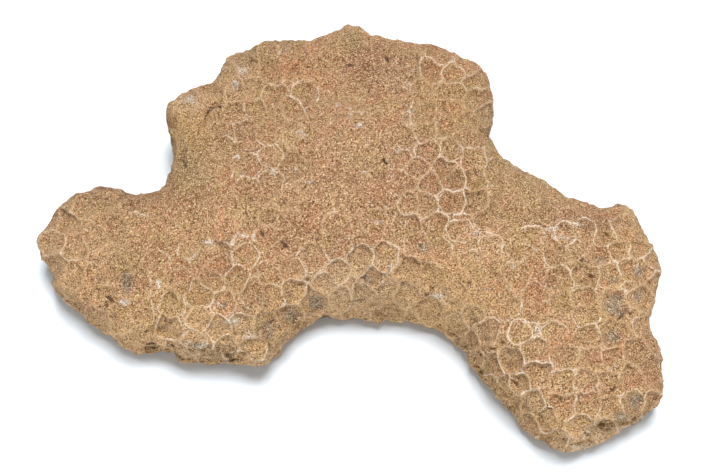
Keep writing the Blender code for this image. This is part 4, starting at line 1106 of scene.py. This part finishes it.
@dataclass
class WeatheredHead:
    """The colony's surface at a fine grain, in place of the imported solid."""

    node: str = "coral_head"
    levels: int = 2
    seed: int = 5
    # How near vertices are joined, in metres, and how flat two triangles lie that become one face
    weld_reach: float = 1e-6
    pair_angle_deg: float = 18.0
    pair_shape_deg: float = 60.0
    # How sharply a crest bends, and what is stored on a crest, on the cut and from where a crest counts
    crest_angle_deg: float = 50.0
    crest_mark: float = 1.0
    cut_mark: float = 0.3
    crest_least: float = 0.98
    floor_gap: float = 0.02
    # How often the form, what evening takes from it, the rims and the facing are evened out
    level_rounds: int = 60
    shrink_rounds: int = 40
    rim_rounds: int = 4
    facing_rounds: int = 12
    rim_percentile: float = 60.0
    worn_depth: float = 0.08
    fresh_depth: float = 0.9
    rim_level: float = 0.6
    # The least depth of a cup and what its own tone adds, both as a share
    tone_least: float = 0.4
    tone_gain: float = 1.1
    ridge_height: float = 0.12
    ridge_width: float = 0.3
    gap_size: float = 3.2
    gap_share: float = 0.36
    gap_fresh: float = 0.45
    plump: float = 0.3
    foot_fade: float = 1.4
    sway: Layer = Layer("sway", 3.2, 2, 1.6, sideways=True)
    layers: tuple[Layer, ...] = (
        Layer("swell", 7.0, 1, 1.0), Layer("crumble", 2.6, 1, 1.0), Layer("grit", 1.2, 0, 0.45),
    )
    survey: Survey = Survey()
    chart: StoneMap = StoneMap()
    finish: SandyLimestone = SandyLimestone()

    def build(self, cad: bpy.types.Object) -> bpy.types.Object:
        """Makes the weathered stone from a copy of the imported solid.

        Args:
            cad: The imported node.

        Returns:
            The finished piece.
        """
        piece = bpy.data.objects.new("weathered_head", cad.data.copy())
        bpy.context.scene.collection.objects.link(piece)
        self.weld(piece)
        self.mark_cups(piece.data)
        self.refine(piece)
        self.roughen(piece, self.sway)
        self.wear(piece.data)
        self.roughen(piece, *self.layers)
        self.carve(piece.data)
        self.paint(piece.data)
        piece.data.materials.clear()
        piece.data.materials.append(self.finish.material())
        select_only(piece)
        bpy.ops.object.shade_smooth()
        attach(piece, "root")
        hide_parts(self.node)
        triangles = sum(len(face.vertices) - 2 for face in piece.data.polygons)
        LOG.info("weathered_head: %d triangles", triangles)
        return piece

    def weld(self, piece: bpy.types.Object) -> None:
        """Joins the loose triangles of the copy and pairs those of each wall slope."""
        select_only(piece)
        bpy.ops.object.mode_set(mode="EDIT")
        bpy.ops.mesh.select_all(action="SELECT")
        bpy.ops.mesh.remove_doubles(threshold=self.weld_reach)
        bpy.ops.mesh.select_all(action="DESELECT")
        bpy.ops.object.mode_set(mode="OBJECT")
        for face in piece.data.polygons:
            face.select = face.center.z > self.floor_gap * MM
        bpy.ops.object.mode_set(mode="EDIT")
        angles = (math.radians(self.pair_angle_deg), math.radians(self.pair_shape_deg))
        bpy.ops.mesh.tris_convert_to_quads(face_threshold=angles[0], shape_threshold=angles[1])
        bpy.ops.object.mode_set(mode="OBJECT")

    def mark_cups(self, mesh: bpy.types.Mesh) -> None:
        """Marks the crest of every wall, and gives every cup a tone of its own.

        Args:
            mesh: The welded mesh.
        """
        work = bmesh.new()
        work.from_mesh(mesh)
        work.normal_update()
        lowest = self.floor_gap * MM
        wall = np.zeros(len(work.verts))
        for vertex in work.verts:
            bends = sorted(math.degrees(edge.calc_face_angle_signed(0.0)) for edge in vertex.link_edges)
            if vertex.co.z < lowest:
                wall[vertex.index] = self.cut_mark
            elif bends[-1] + bends[-2] > self.crest_angle_deg:
                wall[vertex.index] = self.crest_mark
        tone = self.flooded(work, wall)
        cut = np.array([face.calc_center_median().z < lowest for face in work.faces], float)
        rim = np.array([all(vertex.co.z < lowest for vertex in edge.verts) for edge in work.edges], float)
        work.free()
        store(mesh, "wall", wall)
        store(mesh, "cup_tone", tone, "FACE")
        store(mesh, "cut", cut, "FACE")
        store(mesh, "crease_edge", rim, "EDGE")

    def flooded(self, work: bmesh.types.BMesh, wall: np.ndarray) -> np.ndarray:
        """Draws a tone for every patch of faces that crests shut in.

        Args:
            work: The mesh.
            wall: What is stored on its vertices.

        Returns:
            The tone of every face.
        """
        unset = -1.0
        tone = np.full(len(work.faces), unset)
        draw = Random(self.seed)
        for start in work.faces:
            if tone[start.index] > unset:
                continue
            tone[start.index] = draw.random()
            patch = [start]
            for face in patch:
                for edge in face.edges:
                    if all(wall[vertex.index] == self.crest_mark for vertex in edge.verts):
                        continue
                    for other in edge.link_faces:
                        above = other.calc_center_median().z > self.floor_gap * MM
                        if tone[other.index] == unset and above:
                            tone[other.index] = tone[start.index]
                            patch.append(other)
        return tone

    def refine(self, piece: bpy.types.Object) -> None:
        """Divides every face, which also rounds the cups."""
        select_only(piece)
        finer = piece.modifiers.new("finer", "SUBSURF")
        finer.levels = self.levels
        finer.render_levels = self.levels
        bpy.ops.object.modifier_apply(modifier=finer.name)

    def hold(self, places: np.ndarray) -> np.ndarray:
        """How far each place may move, from 0 on the flat cut to 1 above it."""
        return rising(places[:, 2], 0.0, self.foot_fade)

    def roughen(self, piece: bpy.types.Object, *layers: Layer) -> None:
        """Pushes the surface by layers of noise, but leaves the flat cut alone.

        Args:
            piece: The stone.
            layers: The layers, in order.
        """
        group = piece.vertex_groups.new(name="above_the_cut")
        for index, weight in enumerate(self.hold(coordinates(piece.data))):
            if weight > 0.0:
                group.add([index], weight, "REPLACE")
        name = group.name
        select_only(piece)
        for layer in layers:
            layer.push(piece, name)
        piece.vertex_groups.clear()

    def fresh_at(self, mesh: bpy.types.Mesh) -> np.ndarray:
        """How fresh the walls are at each vertex, from 0 to 1."""
        places = self.survey.read(coordinates(mesh))
        least, side = 1e-5, self.chart.side_freshness
        total = np.full(len(places), least)
        gathered = total * side
        for x, v, fresh in self.chart.freshness:
            away = (places[:, 0] - x) ** 2 + (places[:, 1] - v) ** 2
            weight = np.exp(-away / self.chart.freshness_reach ** 2)
            total += weight
            gathered += weight * fresh
        upright = np.clip(normals(mesh)[:, 2] * self.chart.upright_gain, 0.0, 1.0)
        return gathered / total * upright + side * (1.0 - upright)

    def nearest_cups(
        self, places: np.ndarray, facing: np.ndarray
    ) -> tuple[np.ndarray, np.ndarray, np.ndarray]:
        """Which charted cups lie nearest to places on the stone.

        Args:
            places: The places.
            facing: The normals there.

        Returns:
            Where the places are seen, the numbers of the two nearest cups, and how well the chart
            holds there, from 0 to 1.
        """
        seen = swayed(self.survey.read(places), self.chart.cup_sway, self.chart.cup_sway_rates)
        tree = search_tree([(x, v, 0.0) for x, v in self.chart.cups])
        found = [tree.find_n((x, v, 0.0), 2) for x, v in seen]
        pairs = np.array([(first[1], second[1]) for first, second in found])
        away = np.array([first[2] for first, _ in found])
        in_sight = rising(self.survey.towards(facing), *self.chart.cup_sight)
        return seen, pairs, in_sight * rising(self.chart.cup_reach - away, *self.chart.fade)

    def cup_tones(self) -> np.ndarray:
        """A number from 0 to 1 drawn for each charted cup."""
        draw = Random(self.seed)
        return np.array([draw.random() for _ in self.chart.cups])

    def wall_distance(self, seen: np.ndarray, pairs: np.ndarray) -> np.ndarray:
        """How far places are inside a cup's rim, which is round but for its straight walls to its neighbours.

        Args:
            seen: The places on the survey plane.
            pairs: The numbers of the cup and its neighbour at each place.

        Returns:
            The distances in millimetres, below 0 outside the cup.
        """
        cups = np.array(self.chart.cups)
        near, far = cups[pairs[:, 0]], cups[pairs[:, 1]]
        across = far - near
        straight = (((near + far) / 2.0 - seen) * across).sum(axis=1) / np.linalg.norm(across, axis=1)
        least, gain = self.chart.cup_spread
        radius = self.chart.cup_radius * (least + gain * self.cup_tones()[pairs[:, 0]])
        return np.minimum(straight, radius - np.linalg.norm(seen - near, axis=1))

    def standing(self, places: np.ndarray, fresh: np.ndarray) -> np.ndarray:
        """Where a wall still stands: nearly everywhere on fresh stone, in short arcs on worn stone."""
        luck = np.array([noise.noise(Vector(place) / self.gap_size) for place in places])
        return luck > self.gap_share - 0.5 - self.gap_fresh * fresh

    def crest_gap(self, mesh: bpy.types.Mesh, places: np.ndarray, crest: np.ndarray) -> np.ndarray:
        """Distance of every vertex from the nearest crest.

        Args:
            mesh: The mesh.
            places: Places of its vertices.
            crest: Which of them lie on a crest.

        Returns:
            The distances in millimetres.
        """
        first, second = edge_ends(mesh)
        along = crest[first] & crest[second]
        begin, run = places[first[along]], places[second[along]] - places[first[along]]
        tree = search_tree(np.concatenate([begin + run * share for share in (0.0, 0.25, 0.5, 0.75, 1.0)]))
        return np.array([tree.find(place)[2] for place in places])

    def wear(self, mesh: bpy.types.Mesh) -> None:
        """Gives the cups round floors, deep where the colony is fresh and shallow where it is worn."""
        web = Web(mesh)
        places, facing = coordinates(mesh), normals(mesh)
        fresh = self.fresh_at(mesh)
        crest = (stored(mesh, "wall") > self.crest_least) & self.standing(places, fresh)
        gap = self.crest_gap(mesh, places, crest)
        level = by_axis(lambda column: web.evened(column, self.level_rounds), places)
        level[:, 2] = np.maximum(level[:, 2], 0.0)
        lost = web.evened(((places - level) * facing).sum(axis=1), self.shrink_rounds)
        rim = web.evened(crest.astype(float), self.rim_rounds)
        rim = np.clip(rim / np.percentile(rim[crest], self.rim_percentile), 0.0, 1.0)
        out = by_axis(lambda column: web.evened(column, self.facing_rounds), facing)
        out /= np.linalg.norm(out, axis=1)[:, None]
        charted = self.nearest_cups(places, out)[2]
        depth = self.worn_depth + (self.fresh_depth - self.worn_depth) * fresh
        depth *= self.tone_least + self.tone_gain * face_mean(mesh, "cup_tone")
        depth *= 1.0 - charted
        ridge = self.ridge_height * fresh * np.exp(-gap / self.ridge_width) * (1.0 - charted)
        seen = self.survey.read(places)
        for x, v, reach, height in self.chart.knobs:
            lost = lost + height * blob(seen, x, v, reach)
        target = level + out * (lost + self.plump + ridge + depth * (rim - self.rim_level))[:, None]
        move_to(mesh, places + (target - places) * self.hold(places)[:, None])
        store(mesh, "fresh", fresh)
        store(mesh, "gap", gap + FAR * charted)
        # How deep the cup floors sink, which the finish paints as shade
        store(mesh, "sink", (1.0 - rim) * depth / self.fresh_depth)

    def carve(self, mesh: bpy.types.Mesh) -> None:
        """Sinks the cups, pores and cracks, raises the ledges, and stores what the finish shows of them."""
        chart = self.chart
        places, facing = coordinates(mesh), normals(mesh)
        plane, pairs, charted = self.nearest_cups(places, facing)
        floor = rising(self.wall_distance(plane, pairs), 0.0, chart.cup_slope)
        up_the_cup = plane[:, 1] - np.array(chart.cups)[pairs[:, 0], 1]
        lean = up_the_cup / chart.cup_radius * (charted > 0.5)
        freshness = chart.cup_worn + (1.0 - chart.cup_worn) * stored(mesh, "fresh")
        least, gain = chart.cup_tone
        cup = chart.cup_depth * freshness * (least + gain * self.cup_tones()[pairs[:, 0]]) * charted
        # How far up its cup each place lies and how deep it sinks, which the finish paints as shade under the
        # upper wall and on the floors
        store(mesh, "lean", lean)
        store(mesh, "sink", stored(mesh, "sink") + floor * cup)
        self.mark_walls(mesh, places, facing)

        seen = swayed(self.survey.read(places), chart.wiggle, chart.wiggle_rates)
        towards = np.clip(self.survey.towards(facing) * chart.sight_gain, 0.0, 1.0)
        depth = self.mark_damage(mesh, seen, towards)
        depth = depth + cup * (floor * (1.0 + chart.cup_lean * lean) - self.rim_level)
        places = places - facing * (depth * self.hold(places) * towards)[:, None]
        places[:, 2] = np.maximum(places[:, 2], 0.0)
        move_to(mesh, places)

    def mark_damage(self, mesh: bpy.types.Mesh, seen: np.ndarray, towards: np.ndarray) -> np.ndarray:
        """Stores where cracks, pores and bare walls show.

        Args:
            mesh: The mesh.
            seen: Places of its vertices on the survey plane.
            towards: How squarely they face the surveyor.

        Returns:
            How deep the pores, cracks and grooves are, in millimetres.
        """
        chart = self.chart
        depth, crack, pit, bare = np.zeros((4, len(seen)))
        for x, v, radius, sunk in chart.pits:
            away = np.hypot(seen[:, 0] - x, seen[:, 1] - v)
            depth = np.maximum(depth, sunk * np.exp(-(away / radius) ** 2))
            strength = min(1.0, chart.pit_least + sunk)
            pit = np.maximum(pit, (1.0 - away / (radius * chart.pit_skirt)) * strength)
        for line in chart.cracks:
            away = line_distance(seen, line)
            depth = np.maximum(depth, chart.crack_depth * np.exp(-(away / chart.crack_core) ** 2))
            crack = np.maximum(crack, 1.0 - away / chart.crack_reach)
        for strength, line in chart.seams:
            near = chart.seam_reach - line_distance(seen, rounded(line))
            bare = np.maximum(bare, strength * rising(near, *chart.fade))
        for line, reach, sunk in chart.grooves:
            depth = depth + sunk * np.exp(-(line_distance(seen, rounded(line)) / reach) ** 2)
        for name, shown in (("crack", crack), ("pit", pit), ("bare", bare)):
            store(mesh, name, shown * towards)
        return depth

    def mark_walls(self, mesh: bpy.types.Mesh, places: np.ndarray, facing: np.ndarray) -> None:
        """Stores at every corner of every face how far it is from the wall of the cup that the face lies in.

        Args:
            mesh: The mesh.
            places: Places of its vertices.
            facing: The normals there.
        """
        sizes, corners = corner_list(mesh)
        face = np.repeat(np.arange(len(sizes)), sizes)
        middle = by_axis(lambda column: np.bincount(face, column) / sizes, places[corners])
        middle_facing = by_axis(lambda column: np.bincount(face, column) / sizes, facing[corners])
        pairs, charted = self.nearest_cups(middle, middle_facing)[1:]
        seen = self.nearest_cups(places, facing)[0]
        edge = self.wall_distance(seen[corners], pairs[face])
        store(mesh, "edge", np.where(charted[face] > 0.5, edge, FAR), "CORNER")

    def paint(self, mesh: bpy.types.Mesh) -> None:
        """Stores how strong each stain, with the painted light and shade among them, is at each vertex."""
        chart = self.chart
        seen = self.survey.read(coordinates(mesh))
        towards = self.survey.towards(normals(mesh)) * chart.sight_gain + chart.stain_wrap
        towards = np.clip(towards, 0.0, 1.0)
        pale = chart.side_pale * (1.0 - towards)
        for x, v, reach, strength in chart.pale_walls:
            pale = np.maximum(pale, strength * blob(seen, x, v, reach) * towards)
        store(mesh, "pale", pale)
        for tint, spots in chart.stains:
            amount = np.zeros(len(seen))
            for x, v, reach, squash, strength in spots:
                amount = np.maximum(amount, strength * blob(seen, x, v, reach, squash))
            store(mesh, tint.name.lower(), amount * towards)


# The studio


@dataclass
class Studio:
    """Plain pale floor, soft light from above and from the sides, and the camera."""

    survey: Survey = Survey()
    lens: float = 85.0
    clip_start: float = 10.0
    aim_shift: Point = (0.5, 0.8)
    floor_half: float = 3000.0
    floor_drop: float = 0.15
    key_place: tuple[float, float, float] = (60.0, 90.0, 1100.0)
    key_size: float = 330.0
    key_power: float = 13.7
    fill_distance: float = 1100.0
    fill_height: float = 120.0
    fill_size: tuple[float, float] = (1300.0, 200.0)
    # Compass direction of each low fill light in degrees, from the right towards the back, and its power
    fills: tuple[tuple[str, float, float], ...] = (
        ("front_fill", 270.0, 6.0), ("right_fill", 0.0, 4.2),
        ("back_fill", 90.0, 0.8), ("left_fill", 200.0, 2.4),
    )
    sky_colour: Colour = (0.93, 0.97, 1.0)
    sky: float = 0.32

    def build(self) -> None:
        """Lays the floor, hangs the lights and sets up the camera."""
        self.lay_floor()
        self.hang("key_light", self.key_place, (self.key_size, self.key_size), self.key_power)
        for name, bearing, power in self.fills:
            turn = math.radians(bearing)
            aside, back = self.fill_distance * math.cos(turn), self.fill_distance * math.sin(turn)
            self.hang(name, (aside, back, self.fill_height), self.fill_size, power)
        world = bpy.data.worlds.new("soft_sky")
        bpy.context.scene.world = world
        world.use_nodes = True
        background = world.node_tree.nodes["Background"]
        background.inputs["Color"].default_value = (*self.sky_colour, 1.0)
        background.inputs["Strength"].default_value = self.sky
        bpy.context.scene.view_settings.view_transform = "Standard"
        self.set_camera()

    def lay_floor(self) -> None:
        """Lays a sheet of white paper under the stone."""
        bpy.ops.object.select_all(action="DESELECT")
        place = (0.0, 0.0, -self.floor_drop * MM)
        bpy.ops.mesh.primitive_plane_add(size=2.0 * self.floor_half * MM, location=place)
        floor = bpy.context.active_object
        floor.name = "studio_floor"
        floor.data.materials.append(StudioPaper().material())

    def hang(
        self, name: str, place: tuple[float, float, float], size: tuple[float, float], power: float
    ) -> None:
        """Hangs one soft light that faces the stone.

        Args:
            name: Its name.
            place: Its place in millimetres.
            size: Its width and height in millimetres.
            power: Its power in watts.
        """
        bpy.ops.object.light_add(type="AREA", location=Vector(place) * MM)
        lamp = bpy.context.active_object
        lamp.name = name
        lamp.data.shape = "RECTANGLE"
        lamp.data.size = size[0] * MM
        lamp.data.size_y = size[1] * MM
        lamp.data.energy = power
        lamp.rotation_euler = (-Vector(place)).to_track_quat("-Z", "Y").to_euler()

    def set_camera(self) -> None:
        """Puts the camera where the surveyor stands."""
        right, up, forward = (Vector(axis) for axis in self.survey.axes())
        aside = right * self.aim_shift[0] + up * self.aim_shift[1]
        bpy.ops.object.camera_add(location=(Vector(self.survey.eye()) + aside) * MM)
        camera = bpy.context.active_object
        camera.name = "camera"
        camera.data.lens = self.lens
        camera.data.clip_start = self.clip_start * MM
        camera.rotation_euler = Matrix((right, up, -forward)).transposed().to_euler()
        bpy.context.scene.camera = camera


def main() -> None:
    """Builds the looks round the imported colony."""
    logging.basicConfig(level=logging.INFO, format="%(name)s: %(message)s")
    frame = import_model()
    head = WeatheredHead()
    head.build(frame["nodes"][head.node])
    Studio().build()


if __name__ == "__main__":
    main()
